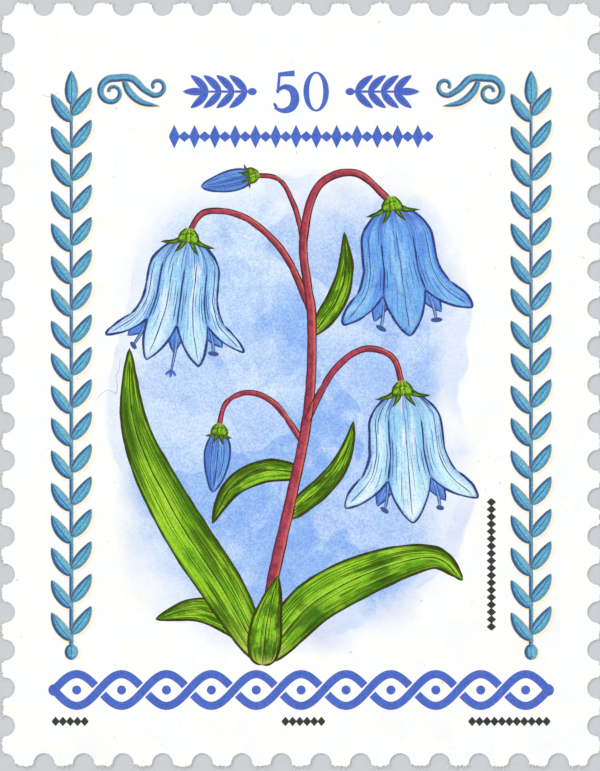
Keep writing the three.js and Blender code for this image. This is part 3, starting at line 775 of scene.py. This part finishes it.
STALKS = {  # places that each stalk runs through, and its half width at the root and at the tip
    "left_bud": (((0.1, -2.6), (-1.1, -0.9), (-2.3, -0.35), (-3.3, -0.8), (-3.6, -1.9)), (0.12, 0.09)),
    "top_bud": (((0.12, 6.0), (-0.25, 7.7), (-0.95, 9.0), (-2.1, 9.2)), (0.1, 0.08)),
    "left": (((0.42, 3.2), (-0.7, 5.7), (-2.4, 7.3), (-4.2, 7.6), (-4.95, 6.6)), (0.14, 0.11)),
    "right": (((0.2, -1.7), (1.35, 0.5), (2.7, 1.55), (4.0, 1.2), (4.45, -0.1)), (0.14, 0.11)),
    "main": (((-1.7, -12.0), (-1.25, -8.6), (-0.35, -4.6), (0.35, -0.8), (0.45, 3.0), (0.1, 6.2),
              (0.75, 8.7), (2.4, 9.3), (3.95, 8.0)), (0.26, 0.13)),
}
BASAL_LEAVES = (  # places, widest half width, and the powers that say where it is widest
    (((-1.7, -12.2), (-2.7, -10.6), (-4.5, -9.9), (-6.4, -10.3)), 0.62, 0.5, 0.8),
    (((-1.75, -12.1), (-3.3, -9.2), (-5.6, -5.6), (-7.3, -1.9), (-7.55, 1.6)), 0.95, 0.45, 0.8),
    (((-1.6, -12.1), (0.4, -9.7), (3.2, -8.2), (5.8, -7.6), (7.1, -8.6)), 0.95, 0.45, 0.75),
)
SHEATH = (((-1.7, -12.3), (-1.5, -10.4), (-1.0, -8.4)), 0.7, 0.35, 0.9)
STEM_LEAVES = {
    "low_stem_leaf": (((-0.75, -5.9), (1.2, -4.2), (2.0, -2.9), (2.3, -1.6)), 0.42, 0.5, 0.9),
    "middle_stem_leaf": (((0.05, -3.9), (-1.6, -3.8), (-3.1, -4.6), (-3.9, -6.1)), 0.48, 0.5, 0.9),
    "high_stem_leaf": (((0.45, 2.2), (1.5, 3.6), (1.95, 5.1), (1.9, 6.7)), 0.42, 0.5, 0.9),
}
BELLS = {
    "top": {"x": 4.0, "y": 7.85, "lean": 0.14, "length": 3.65, "lobes": 3, "shade": 0.4},
    "left": {"x": -4.95, "y": 6.45, "lean": -0.13, "length": 3.6, "lobes": 4, "shade": 0.1},
    "right": {"x": 4.45, "y": -0.25, "lean": 0.08, "length": 3.7, "lobes": 3, "shade": 0.0},
}
BUDS = {
    "left": {"x": -3.6, "y": -2.05, "lean": -0.1, "length": 2.7, "half": 0.55},
    "top": {"x": -2.15, "y": 9.2, "lean": -1.35, "length": 2.3, "half": 0.45},
}
BELL = {  # a bell seen from the side, with its sizes in lengths of its cup
    "half_turn": math.radians(80), "neck": 0.1, "shoulder": 0.31, "shoulder_end": 0.4, "taper": 0.05,
    "flare": 0.7, "flare_start": 0.7, "lobe": 0.44, "far_lobe": 0.68,
    "curl": 0.15, "lift": 0.5, "droop": 0.07, "ease": 0.03,
}

# Rows of a leaf's grid: how many there are, the midrib's, and where its veins start and stop
LEAF_ROWS, MIDRIB_ROWS = 72, slice(3, 64)
VEIN_STARTS, VEIN_STOPS = (2, 24), (44, 70)

# The order in which the films of the picture lie over one another, and how far a bell's threads lie under it
BACK_LEAVES, FRONT_LEAVES, STALK_ORDER, SHEATH_ORDER, FAR_LOBES, FLOWERS, CUPS = 0, 3, 4, 6, 6, 7, 8
UNDER_FRONT = 0.0003

# Drawn lines: the steps of their rows and knots, how they waver, how hard they are pressed, how they end
ROW_EVERY, KNOT_EVERY = 0.09, 0.35
WAVER = 0.009
PRESSURES = (0.55, 1.25)
POINT_LENGTH, BLUNTNESS = 0.25, 0.15
LINE = {  # half widths
    "leaf side": 0.052, "midrib": 0.026, "vein": 0.018, "stalk side": 0.026, "far lobe": 0.034,
    "bell side": 0.05, "bell rim": 0.048, "rib": 0.022, "hatching": 0.015, "fold": 0.038,
    "beside a fold": 0.02, "neck": 0.018, "bud side": 0.042, "thread": 0.02,
}


def picture_level(order):
    """The height of a film of the picture, from its place in the order of drawing."""
    return FIRST_PICTURE_LEVEL + order * LEVEL_STEP


def along_axis(flower, along, right):
    """Places at distances along a flower's axis, which points down as it leans, and to the right of it."""
    x = flower["x"] + along * math.sin(flower["lean"]) + right * math.cos(flower["lean"])
    y = flower["y"] - along * math.cos(flower["lean"]) + right * math.sin(flower["lean"])
    return np.stack(np.broadcast_arrays(x, y), -1)


def bell_width(down):
    """Half width at a distance down: a neck, a round shoulder, a slight taper and a flare near the rim."""
    shoulder = 1 - (1 - np.minimum(down / BELL["shoulder_end"], 1)) ** 2
    flare = np.maximum(down - BELL["flare_start"], 0) ** 1.6
    return BELL["neck"] + BELL["shoulder"] * shoulder + BELL["taper"] * down + BELL["flare"] * flare


def lobe_share(across, lobes):
    """How near a place across the bell is to a lobe's middle: 1 on it and 0 in a notch."""
    share = (across + 1) / 2 * lobes
    return 1 - np.abs(2 * (share - np.floor(np.minimum(share, lobes - 1e-9))) - 1)


def bell_rim(across, lobes):
    """How far down the rim lies at a share across: the cup's length and a pointed lobe."""
    return 1 + BELL["lobe"] * (1 - (1 - lobe_share(across, lobes)) ** 1.2)


def on_bell(bell, across, down):
    """Places on a bell: as wide as its profile, turned away to the sides, with its side lobes curled out.

    The curl grows with the distance past the cup's end, and a logarithm of a sum of powers eases it in.
    """
    across, down = np.broadcast_arrays(np.asarray(across, float), np.asarray(down, float))
    side = np.sin(across * BELL["half_turn"]) / math.sin(BELL["half_turn"])
    past = BELL["ease"] * np.logaddexp(0, (down - 1) / BELL["ease"])
    along = down - BELL["lift"] * past * side**2 + BELL["droop"] * (1 - side**2) * down**2
    right = side * (bell_width(down) + BELL["curl"] * past * np.abs(side))
    return along_axis(bell, along * bell["length"], right * bell["length"])


def pencil_line(ink, path, half, level, tone, rng):
    """A drawn line: it wavers by a few thousandths, swells as the pencil is pressed and ends in points."""
    run = length_of(path)
    rows = int(np.clip(run / ROW_EVERY, 8, 150))
    knots = np.linspace(0, 1, max(int(run / KNOT_EVERY), 4))
    t = np.linspace(0, 1, len(path))
    waver = np.stack([np.interp(t, knots, rng.normal(0, WAVER, len(knots))) for _ in range(2)], -1)
    pressure = rng.uniform(*PRESSURES, len(knots))
    point = lambda t: np.clip(np.minimum(t, 1 - t) * run / POINT_LENGTH + BLUNTNESS, 0, 1)
    press = lambda t: half * np.interp(t, knots, pressure) * point(t)
    ink.stroke(path + waver, press, level + LINE_LIFT, rows=rows, columns=3, tone=tone)


def paint_leaf(ink, lines, leaf, order, rng, veins=6):
    """A leaf with an outline down each side, a midrib, and veins that run with it, some of them broken."""
    places, half, early, late = leaf
    level = picture_level(order)
    last = 16
    width = swelling(half, early, late)
    tone = rng.uniform(0, 40)
    points = ink.stroke(through(*places), width, level, rows=LEAF_ROWS, columns=last + 1, tone=tone)
    for column in (0, last):
        pencil_line(lines, points[:, column], LINE["leaf side"], level, rng.uniform(0.0, 0.2), rng)
    pencil_line(lines, points[MIDRIB_ROWS, last // 2], LINE["midrib"], level, 0.2, rng)
    for column in rng.permutation(np.delete(np.arange(2, last - 1), last // 2 - 2))[:veins]:
        start, stop = int(rng.uniform(*VEIN_STARTS)), int(rng.uniform(*VEIN_STOPS))
        pencil_line(lines, points[start:stop, column], LINE["vein"], level, rng.uniform(0.1, 0.9), rng)


def paint_stalks(ink, lines, rng):
    """The stalks, the main one drawn over the roots of the others, with a broken line down each side."""
    for order, (places, halves) in enumerate(STALKS.values()):
        path = through(*places)
        rows = int(length_of(path) / 0.12)
        level = picture_level(STALK_ORDER + order / 4)
        points = ink.stroke(path, tapering(*halves), level, rows=rows, columns=9)
        for column, tone in ((0, 0.2), (8, 0.5)):
            for start, stop in ((0.01, 0.36), (0.33, 0.68), (0.66, 0.99)):
                part = points[int(start * rows):int(stop * rows), column]
                pencil_line(lines, part, LINE["stalk side"], level, tone + rng.uniform(-0.2, 0.3), rng)


def paint_far_lobes(ink, lines, bell, tone, rng):
    """The tips of the far lobes, which show between the near ones."""
    level = picture_level(FAR_LOBES)
    half = 0.15 * bell["length"]
    for k in range(1, bell["lobes"]):
        notch = 2 * k / bell["lobes"] - 1
        tip = on_bell(bell, notch * 1.12, 1 + BELL["far_lobe"] * BELL["lobe"])
        path = through(on_bell(bell, notch, 0.8), on_bell(bell, notch * 1.06, 1.05), tip)
        width = lambda t: half * (1 - t**2) ** 0.9
        far = ink.stroke(path, width, level, rows=16, columns=9, tone=tone + k, shade=0.7)
        for edge in (far[:, 0], far[::-1, -1]):
            pencil_line(lines, edge, LINE["far lobe"], level, 0.1, rng)


def paint_bell_lines(lines, bell, points, level, rng):
    """A bell's drawing: its outline, a rib down each lobe, a fold up from each notch, and fine hatching."""
    lobes = bell["lobes"]

    def down_bell(across, start, end, steps, kind, tone):
        """A line down the bell at one share across it."""
        path = on_bell(bell, across, np.linspace(start, end, steps))
        pencil_line(lines, path, LINE[kind], level, tone, rng)

    for edge, kind in ((points[:, 0], "bell side"), (points[:, -1], "bell side"), (points[-1], "bell rim")):
        pencil_line(lines, edge, LINE[kind], level, 0.05, rng)
    for k in range(lobes):
        middle = (2 * k + 1) / lobes - 1
        down_bell(middle, 0.3, bell_rim(middle, lobes) - 0.07, 30, "rib", 0.4)
        for offset in (-0.6, -0.34, 0.2, 0.52):
            beside = middle + offset / lobes
            start = rng.uniform(0.45, 0.9)
            end = min(bell_rim(beside, lobes) - 0.1, start + rng.uniform(0.2, 0.5))
            down_bell(beside, start, end, 16, "hatching", rng.uniform(0.5, 1.0))
    for k in range(1, lobes):
        notch = 2 * k / lobes - 1
        down_bell(notch, rng.uniform(0.3, 0.45), 1.0, 20, "fold", 0.08)
        for beside in (-0.07, 0.06):
            down_bell(notch + beside, rng.uniform(0.55, 0.7), 0.97, 14, "beside a fold", 0.3)
    for beside in rng.uniform(-0.94, 0.94, 12):
        down_bell(beside, 0.05, rng.uniform(0.2, 0.5), 12, "neck", rng.uniform(0.2, 0.9))


def paint_bell(ink, lines, bell, rng):
    """A bell: its far lobes, its front as a grid from neck to rim, and its drawing."""
    lobes, size = bell["lobes"], bell["length"]
    tone = rng.uniform(0, 40)
    level = picture_level(FLOWERS)
    paint_far_lobes(ink, lines, bell, tone, rng)
    across = np.linspace(-0.99, 0.99, lobes * 20 + 1)[None, :]
    rim = bell_rim(across, lobes)
    down = np.linspace(0, 1, 48)[:, None] * rim
    points = on_bell(bell, across, down)
    foreshortening = 0.6
    from_side = (1 - np.abs(across)) * bell_width(down)
    edge = np.minimum(from_side, rim - down) * size * foreshortening
    ink.grid(points, level, along=down / (1 + BELL["lobe"]), across=across, edge=edge,
             lit=lobe_share(across, lobes), tone=tone, shade=bell["shade"])
    paint_bell_lines(lines, bell, points, level, rng)


def paint_bud(ink, lines, bud, rng):
    """A closed bud: a pointed pleated form with an outline and its folds."""
    level = picture_level(FLOWERS)
    bow = along_axis(bud, bud["length"] / 2, 0.03)
    path = through(along_axis(bud, 0, 0), bow, along_axis(bud, bud["length"], 0))
    last = 12
    width = swelling(bud["half"], 0.5, 0.8)
    points = ink.stroke(path, width, level, rows=40, columns=last + 1, tone=rng.uniform(0, 40), shade=0.35)
    for column in (0, last):
        pencil_line(lines, points[:, column], LINE["bud side"], level, 0.1, rng)
    for column, half in ((2, 0.015), (3, 0.02), (5, 0.013), (6, 0.028), (8, 0.015), (9, 0.02), (10, 0.015)):
        start, stop = int(rng.uniform(2, 8)), int(rng.uniform(28, 38))
        pencil_line(lines, points[start:stop, column], half, level, rng.uniform(0.15, 0.6), rng)


def paint_cup(ink, lines, flower, size, spread, rng):
    """The green cup over a flower: a dome and narrow teeth that spread from it, outlined in olive."""
    teeth = picture_level(CUPS)
    for side in (-1, -0.45, 0.45, 1):
        inner = 1 - abs(side)
        root = along_axis(flower, 0, 0.2 * side * size)
        bend = along_axis(flower, (0.25 + 0.3 * inner) * size, 0.62 * side * spread * size)
        tip = along_axis(flower, (0.32 + 0.75 * inner) * size, 1.2 * side * spread * size)
        width = lambda t: 0.13 * size * (1 - t) ** 0.8
        tooth = ink.stroke(through(root, bend, tip), width, teeth, rows=14, columns=7, tone=3.0)
        pencil_line(lines, tooth[2:, 0], 0.03 * size, teeth, 0.1, rng)
        pencil_line(lines, tooth[2:, -1], 0.024 * size, teeth, 0.3, rng)
    over = picture_level(CUPS) + LEVEL_STEP
    axis = through(along_axis(flower, -0.42 * size, 0), along_axis(flower, 0.22 * size, 0))
    width = lambda t: size * (0.16 + 0.3 * np.sin(t * math.pi / 1.6))
    dome = ink.stroke(axis, width, over, rows=16, columns=9, tone=7.0)
    for column, half in ((0, 0.036), (8, 0.036), (3, 0.018), (5, 0.018)):
        pencil_line(lines, dome[:, column], half * size, over, 0.15, rng)


def paint_threads(name, bell, lines, rng):
    """The threads that hang out of a bell's notches: stamens with dark anthers, and a three-part style."""
    ink = Print()
    level = picture_level(FLOWERS) - UNDER_FRONT
    for k in range(1, bell["lobes"]):
        notch = 2 * k / bell["lobes"] - 1
        end, reach = notch * 0.86, rng.uniform(1.3, 1.36) if notch else 1.5
        bend = on_bell(bell, notch * 0.95 + 0.02, 1.16)
        path = through(on_bell(bell, notch, 0.8), bend, on_bell(bell, end, reach))
        thread = ink.stroke(path, tapering(0.06, 0.05), level, rows=24, columns=5, tone=11.0)
        for column in (0, 4):
            pencil_line(lines, thread[11:, column], LINE["thread"], level, 0.15, rng)
        if notch:
            turn = rng.uniform(0.03, 0.06)
            ends = on_bell(bell, end - turn, reach - 0.012), on_bell(bell, end + turn, reach + 0.03)
            anther = swelling(0.105, 0.5, 0.5)
            lines.stroke(through(*ends), anther, level + LINE_LIFT, rows=16, columns=5, tone=0.3)
            continue
        for aside in (-0.045, 0.0, 0.045):
            stub = through(on_bell(bell, 0.0, 1.47), on_bell(bell, aside, 1.53 + 0.02 * (aside == 0)))
            ink.stroke(stub, swelling(0.06, 0.5, 0.4), level, rows=12, columns=5, shade=1.0)
    ink.piece(name + "_threads", PETAL)


def make_picture(rng):
    """The whole spray, one piece for each ink and for each flower."""
    olive, indigo, brown = Print(), Print(), Print()
    foliage = Print()
    for order, leaf in enumerate(BASAL_LEAVES):
        paint_leaf(foliage, olive, leaf, BACK_LEAVES + order, rng, veins=6)
    paint_leaf(foliage, olive, SHEATH, SHEATH_ORDER, rng, veins=5)
    foliage.piece("basal_leaves", LEAF, "foliage_ink")
    for name, leaf in STEM_LEAVES.items():
        ink = Print()
        paint_leaf(ink, olive, leaf, FRONT_LEAVES, rng, veins=5)
        ink.piece(name, LEAF, name + "_ink")
    stalks = Print()
    paint_stalks(stalks, brown, rng)
    stalks.piece("stalks", STALK, "stalk_ink")
    for name, bell in BELLS.items():
        paint_threads(name + "_bell", bell, indigo, rng)
    flowers = {name + "_bell": (paint_bell, bell) for name, bell in BELLS.items()}
    flowers |= {name + "_bud": (paint_bud, bud) for name, bud in BUDS.items()}
    cup_sizes = {"left_bud": (0.8, 0.6), "top_bud": (0.75, 0.6)}
    for name, (paint, flower) in flowers.items():
        petals, cup = Print(), Print()
        paint(petals, indigo, flower, rng)
        petals.piece(name, PETAL, name + "_ink")
        paint_cup(cup, olive, flower, *cup_sizes.get(name, (1, 1)), rng)
        cup.piece(name + "_cup", LEAF, name + "_cup_ink")
    indigo.piece("indigo_pencil_lines", PENCIL)
    olive.piece("olive_pencil_lines", LEAF_LINE)
    brown.piece("brown_pencil_lines", STALK_LINE)


def make_wash_film():
    """The wash's film: a square grid drawn out to a rounded box whose edge wanders in and out."""
    u, v = np.meshgrid(np.linspace(-1, 1, 49), np.linspace(-1, 1, 49), indexing="ij")
    angle = np.arctan2(v, u)
    wander, squareness = 0.01, 0.55
    squared = lambda value: np.sign(value) * np.abs(value) ** squareness
    reach = np.maximum(np.abs(u), np.abs(v)) * (1 - wander * (1 + np.sin(3 * angle + 1) * np.cos(5 * angle)))
    x = WASH["x"] + WASH["reach_x"] * reach * squared(np.cos(angle))
    y = WASH["y"] + WASH["reach_y"] * reach * squared(np.sin(angle))
    wash = Print()
    wash.grid(np.stack([x, y], -1), WASH_LEVEL)
    wash.piece("pale_wash_film", WASH_INK, "wash_ink")


# The ornament

FRAME_BRANCH = {
    "inks": (FRAME_INK, FRAME_LINE), "shadow": True,
    "length": FRAME_TOP - FRAME_BOTTOM, "rod": (0.1, 0.07), "bead": (0.7, 0.3), "tip": (1.5, 0.3),
    "pairs": 17, "first_pair": 0.85, "last_pair": 2.25, "stagger": 0.28, "leaf": (1.55, 0.88, 0.28),
}
SPRIG = {
    "inks": (NUMERAL, NUMERAL_LINE), "shadow": False,
    "length": 3.25, "rod": (0.06, 0.045), "bead": (0.4, 0.16), "tip": (0.95, 0.17),
    "pairs": 4, "first_pair": 0.45, "last_pair": 1.1, "stagger": 0.0, "leaf": (0.95, 0.72, 0.17),
}
MIDRIB_SHARE = 0.07
SHADOW_SHIFT = (0.06, -0.07)


def cast_shadow(shadow, path, width, spread=0.1):
    """The cream shadow of a stroke: a little wider than it, down to the right, and over the last one."""
    level = SHADOW_LEVEL + HAIR * (shadow.films - shadow.films % HAIRS)
    shadow.stroke(path + SHADOW_SHIFT, lambda t: width(t) + spread, level, rows=len(path) // 3, columns=9)


def laurel(name, foot, heading, branch, rng):
    """A rod that grows along a heading, with pairs of leaves, a leaf at its tip and a bead at its foot.

    Each leaf springs from the rod, bends out and has a midrib.
    """
    ink, lines, shadow = Print(), Print(), Print()
    ahead = np.array(heading, float)
    right = np.array([ahead[1], -ahead[0]])
    at = lambda along, aside: np.array(foot) + ahead * along + right * aside
    length, (bead, bead_half), (tip, tip_half) = branch["length"], branch["bead"], branch["tip"]
    leaf, out, half = branch["leaf"]
    rod = through(at(bead / 2, 0), at(length - tip * 0.6, 0))
    ink.stroke(rod, tapering(*branch["rod"]), FRAME_LEVEL, rows=60, columns=7)
    cast_shadow(shadow, rod, tapering(*branch["rod"]))
    level = FRAME_LEVEL + LEVEL_STEP
    for root in np.linspace(branch["first_pair"], length - branch["last_pair"], branch["pairs"]):
        for side in (-1, 1):
            start = root + (branch["stagger"] if side > 0 else 0)
            bend = at(start + leaf * 0.42, side * out * 0.62)
            path = through(at(start, 0), bend, at(start + leaf * 0.8, side * out))
            points = ink.stroke(path, swelling(half, 0.55, 0.75), level, rows=18, columns=9)
            cast_shadow(shadow, path, swelling(half, 0.55, 0.75))
            pencil_line(lines, points[1:15, 4], half * MIDRIB_SHARE, level, 0.15, rng)
    over = level + LEVEL_STEP
    ends = ((through(at(length - tip, 0), at(length, 0)), swelling(tip_half, 0.55, 0.8)),
            (through(at(0, 0), at(bead, 0)), swelling(bead_half, 0.5, 0.5)))
    for path, width in ends:
        points = ink.stroke(path, width, over, rows=24, columns=9)
        cast_shadow(shadow, path, width)
        pencil_line(lines, points[2:18, 4], half * MIDRIB_SHARE, over, 0.15, rng)
    material, line_material = branch["inks"]
    ink.piece(name, material, name + "_ink")
    lines.piece(name + "_midribs", line_material)
    if branch["shadow"]:
        shadow.piece(name + "_shadow", FRAME_SHADOW)


def make_corner_scroll(name, side):
    """A large and a small volute joined in one sweep, with a leaf that springs from it."""
    ink, shadow = Print(), Print()
    mirrored = lambda places: through(*(np.array(places) * (side, 1) + (0, SCROLL_Y)))
    sweep = mirrored([*spiral(8.3, -0.1, 0.14, 0.62, 0, 2.55 * math.pi), (7.45, 0.5), (6.95, 0.05),
                      *spiral(6.35, 0.16, 0.42, 0.14, -0.35 * math.pi, -2.2 * math.pi)])
    spray = mirrored([(7.85, 0.55), (7.55, -0.1), (7.0, -0.55), (6.2, -0.72)])
    width = lambda t: 0.085 + 0.09 * np.sin(math.pi * t) ** 2
    ink.stroke(spray, swelling(0.17, 0.5, 0.8), FRAME_LEVEL, rows=30, columns=9)
    ink.stroke(sweep, width, FRAME_LEVEL + LEVEL_STEP, rows=160, columns=9)
    cast_shadow(shadow, spray, swelling(0.17, 0.5, 0.8))
    cast_shadow(shadow, sweep, width, 0)
    ink.piece(name, FRAME_INK, name + "_ink")
    shadow.piece(name + "_shadow", FRAME_SHADOW)


def make_five(left, base, height):
    """The figure five: a bowl that swells, a stem, a flag and a ball, overlapped as one plain shape."""
    thin, thick = height * 0.035, height * 0.11
    at = lambda x, y: (left + x * height * 0.56, base + y * height)
    bowl = through(at(0.14, 0.5), at(0.5, 0.62), at(0.86, 0.53), at(0.97, 0.3), at(0.8, 0.09), at(0.42, 0.02),
                   at(0.06, 0.1))
    strokes = (
        (bowl, lambda t: thin + (thick - thin) * np.sin(math.pi * t) ** 1.5),
        (through(at(0.2, 0.46), at(0.28, 0.98)), tapering(thin, thin)),
        (through(at(0.24, 0.93), at(0.95, 0.96)), tapering(height * 0.05, height * 0.075)),
        (through(at(0.04, 0.12), at(0.16, 0.16)), swelling(height * 0.085, 0.5, 0.5)),
    )
    five = Print()
    for order, (path, width) in enumerate(strokes):
        five.stroke(path, width, FRAME_LEVEL + order * LEVEL_STEP, rows=60, plain=True)
    five.piece("numeral_five", NUMERAL, "numeral_five_ink")


def make_nought(left, base, height):
    """The figure nought: a ring between two ellipses, with thick sides and thin ends."""
    half = height * 0.32
    angle = np.linspace(0, 2 * math.pi, 97)[:, None]
    share = np.linspace(0, 1, 5)[None, :]
    x = left + half + half * (0.55 + 0.45 * share) * np.cos(angle)
    y = base + height / 2 + height * (0.45 + 0.05 * share) * np.sin(angle)
    nought = Print()
    nought.grid(np.stack([x, y], -1), FRAME_LEVEL, edge=1.0)
    nought.piece("numeral_nought", NUMERAL, "numeral_nought_ink")


def make_chain(name, start, end, heights, links, material):
    """A row of lozenges on a thin rule: half widths that come round in turn, one at each link."""
    share = (np.arange(links + 1) / links)[:, None]
    half = np.take(heights, np.arange(links + 1) % len(heights))[:, None]
    run = np.array(end, float) - start
    left = np.array([-run[1], run[0]]) / np.hypot(*run)
    across = np.linspace(-1, 1, 5)[None, :]
    place = np.array(start) + run * share[..., None] + left * (half * across)[..., None]
    ink = Print()
    ink.grid(place, FRAME_LEVEL, edge=half * (1 - np.abs(across)), across=across, along=share)
    ink.piece(name, material, name + "_ink")


def make_plait():
    """Two strands that cross from end to end, with a pearl in every opening and one over each end.

    A strand is a sine wave that runs over and under in turn, and it breaks off to either side of each
    crossing where it runs under.
    """
    crossings, swing, half, gap, pearl, end_pearl = 11, 0.7, 0.18, 0.088, 0.2, 0.26
    ink = Print()
    for side in (1, -1):
        unders = np.arange(1 if side > 0 else 2, crossings, 2)
        starts = np.concatenate([[0.0], unders + gap])
        stops = np.concatenate([unders - gap, [crossings]])
        for start, stop in zip(starts, stops):
            phase = np.linspace(start, stop, 60)
            x = PLAIT_REACH * (2 * phase / crossings - 1)
            path = np.stack([x, PLAIT_Y + side * swing * np.sin(phase * math.pi)], -1)
            ink.stroke(path, tapering(half, half), FRAME_LEVEL, rows=50)
    for k in range(crossings):
        x = PLAIT_REACH * ((2 * k + 1) / crossings - 1)
        path = through((x - pearl, PLAIT_Y), (x + pearl, PLAIT_Y))
        ink.stroke(path, swelling(pearl, 0.5, 0.5), FRAME_LEVEL, rows=20)
    for end in (-PLAIT_REACH, PLAIT_REACH):
        path = through((end - end_pearl, PLAIT_Y), (end + end_pearl, PLAIT_Y))
        ink.stroke(path, swelling(end_pearl, 0.5, 0.5), FRAME_LEVEL + LEVEL_STEP, rows=28)
    ink.piece("plait_band", NUMERAL, "plait_band_ink")


def make_ornament(rng):
    """All the ornament: branches, scrolls, the numeral between its sprigs, and the bands and chains."""
    middle = NUMERAL_BASE + NUMERAL_HEIGHT / 2
    sides = (("left", -1), ("right", 1))
    for hand, side in sides:
        laurel(hand + "_frame", (side * FRAME_X, FRAME_BOTTOM), (0, 1), FRAME_BRANCH, rng)
    for hand, side in sides:
        laurel(hand + "_sprig", (side * SPRIG_FOOT, middle), (side, 0), SPRIG, rng)
    for hand, side in sides:
        make_corner_scroll(hand + "_scroll", side)
    make_five(-1.22, NUMERAL_BASE, NUMERAL_HEIGHT)
    make_nought(0.1, NUMERAL_BASE, NUMERAL_HEIGHT)
    make_plait()
    small, large_and_small = (0.03, 0.21), (0.05, 0.52, 0.05, 0.24)
    rows = (
        ("bead_band", -BEAD_BAND_REACH, BEAD_BAND_REACH, BEAD_BAND_Y, large_and_small, 52, NUMERAL),
        ("left_imprint", -10.95, -9.35, IMPRINT_Y, small, 10, IMPRINT),
        ("middle_imprint", -0.85, 1.05, IMPRINT_Y, small, 12, IMPRINT),
        ("right_imprint", 7.35, 10.95, IMPRINT_Y, small, 22, IMPRINT),
    )
    for name, start, end, y, heights, links, material in rows:
        make_chain(name, (start, y), (end, y), heights, links, material)
    make_chain("caption", (CAPTION_X, -10.8), (CAPTION_X, -5.0), small, 36, IMPRINT)


# Camera, lights and floor

def make_camera():
    """Straight above the stamp, with a long lens, framed on what the photograph shows of it."""
    photo_long_side = 33.88
    lens, sensor = 135.0, 36.0
    data = bpy.data.cameras.new("camera")
    data.lens, data.sensor_width = lens, sensor
    data.clip_start, data.clip_end = 0.005, 10.0
    camera = placed("camera", data)
    x, y = MIDDLE + (-0.05, -0.039)
    distance = photo_long_side / 2 / (sensor / 2 / lens)
    camera.location = (x * MM, y * MM, (FACE + distance) * MM)
    bpy.context.scene.camera = camera


def make_light(name, place, size, power):
    """A square soft light that faces the middle of the stamp, placed in metres."""
    data = bpy.data.lights.new(name, "AREA")
    data.shape, data.size, data.energy = "SQUARE", size, power
    light = placed(name, data)
    light.location = place
    far = np.array(place) / np.linalg.norm(place)
    light.rotation_euler = (math.acos(far[2]), 0, math.atan2(far[1], far[0]) + math.pi / 2)


def make_floor():
    """A pale floor, a hair under the gum."""
    shader = Shader("pale_floor", "")
    colour = shader.mix(shader.noise(0.02), (202, 205, 208), (206, 208, 211))
    material = shader.finish(colour, shader.bump(shader.noise(1.5, 3.0), 0.01, 0.3), 0.9, 0.2)
    reach, height = 600.0, -0.002
    corners = np.array([(x * reach, y * reach, height) for x, y in ((-1, -1), (1, -1), (1, 1), (-1, 1))])
    built("floor", corners, [(0, 1, 2, 3)], material)


def make_world(strength):
    """An even white studio all round, and colours shown as they are."""
    world = bpy.data.worlds.new("studio")
    world.use_nodes = True
    background = world.node_tree.nodes["Background"]
    background.inputs["Color"].default_value = (1.0, 1.0, 1.0, 1.0)
    background.inputs["Strength"].default_value = strength
    bpy.context.scene.world = world
    bpy.context.scene.view_settings.view_transform = "Standard"


make_camera()
make_light("key", (-0.28, 0.26, 0.42), 0.30, 1.285)
make_light("fill", (0.32, -0.12, 0.40), 0.34, 0.465)
make_world(0.637)
make_floor()

draw = np.random.default_rng(5)
sheet_outline, sheet_tears, sheet_teeth = perforated_outline(draw)
make_sheet(sheet_outline, sheet_tears, draw)
edged_sheet("dried_gum_film", sheet_outline, sheet_tears, GUM_RIM, GUM, "gum_film")
make_torn_fibres(sheet_teeth, draw)
make_hole_fibres(draw)
grey_lint = ((-8.97, -0.65), (-8.86, -0.47), (-8.62, -0.29), (-8.45, -0.25), (-8.27, -0.33), (-8.14, -0.4),
             (-8.08, -0.1), (-8.12, 0.18), (-8.13, 0.4), (-8.03, 0.59), (-7.98, 0.85), (-7.96, 1.16))
make_loose_fibre("grey_lint", grey_lint, 0.009, GREY_LINT)
pink_lint = ((-11.42, 12.75), (-11.27, 12.69), (-11.07, 12.66), (-10.89, 12.7), (-10.78, 12.78),
             (-10.65, 12.81))
make_loose_fibre("pink_lint", pink_lint, 0.01, PINK_LINT)
make_wash_film()
make_picture(draw)
make_ornament(draw)
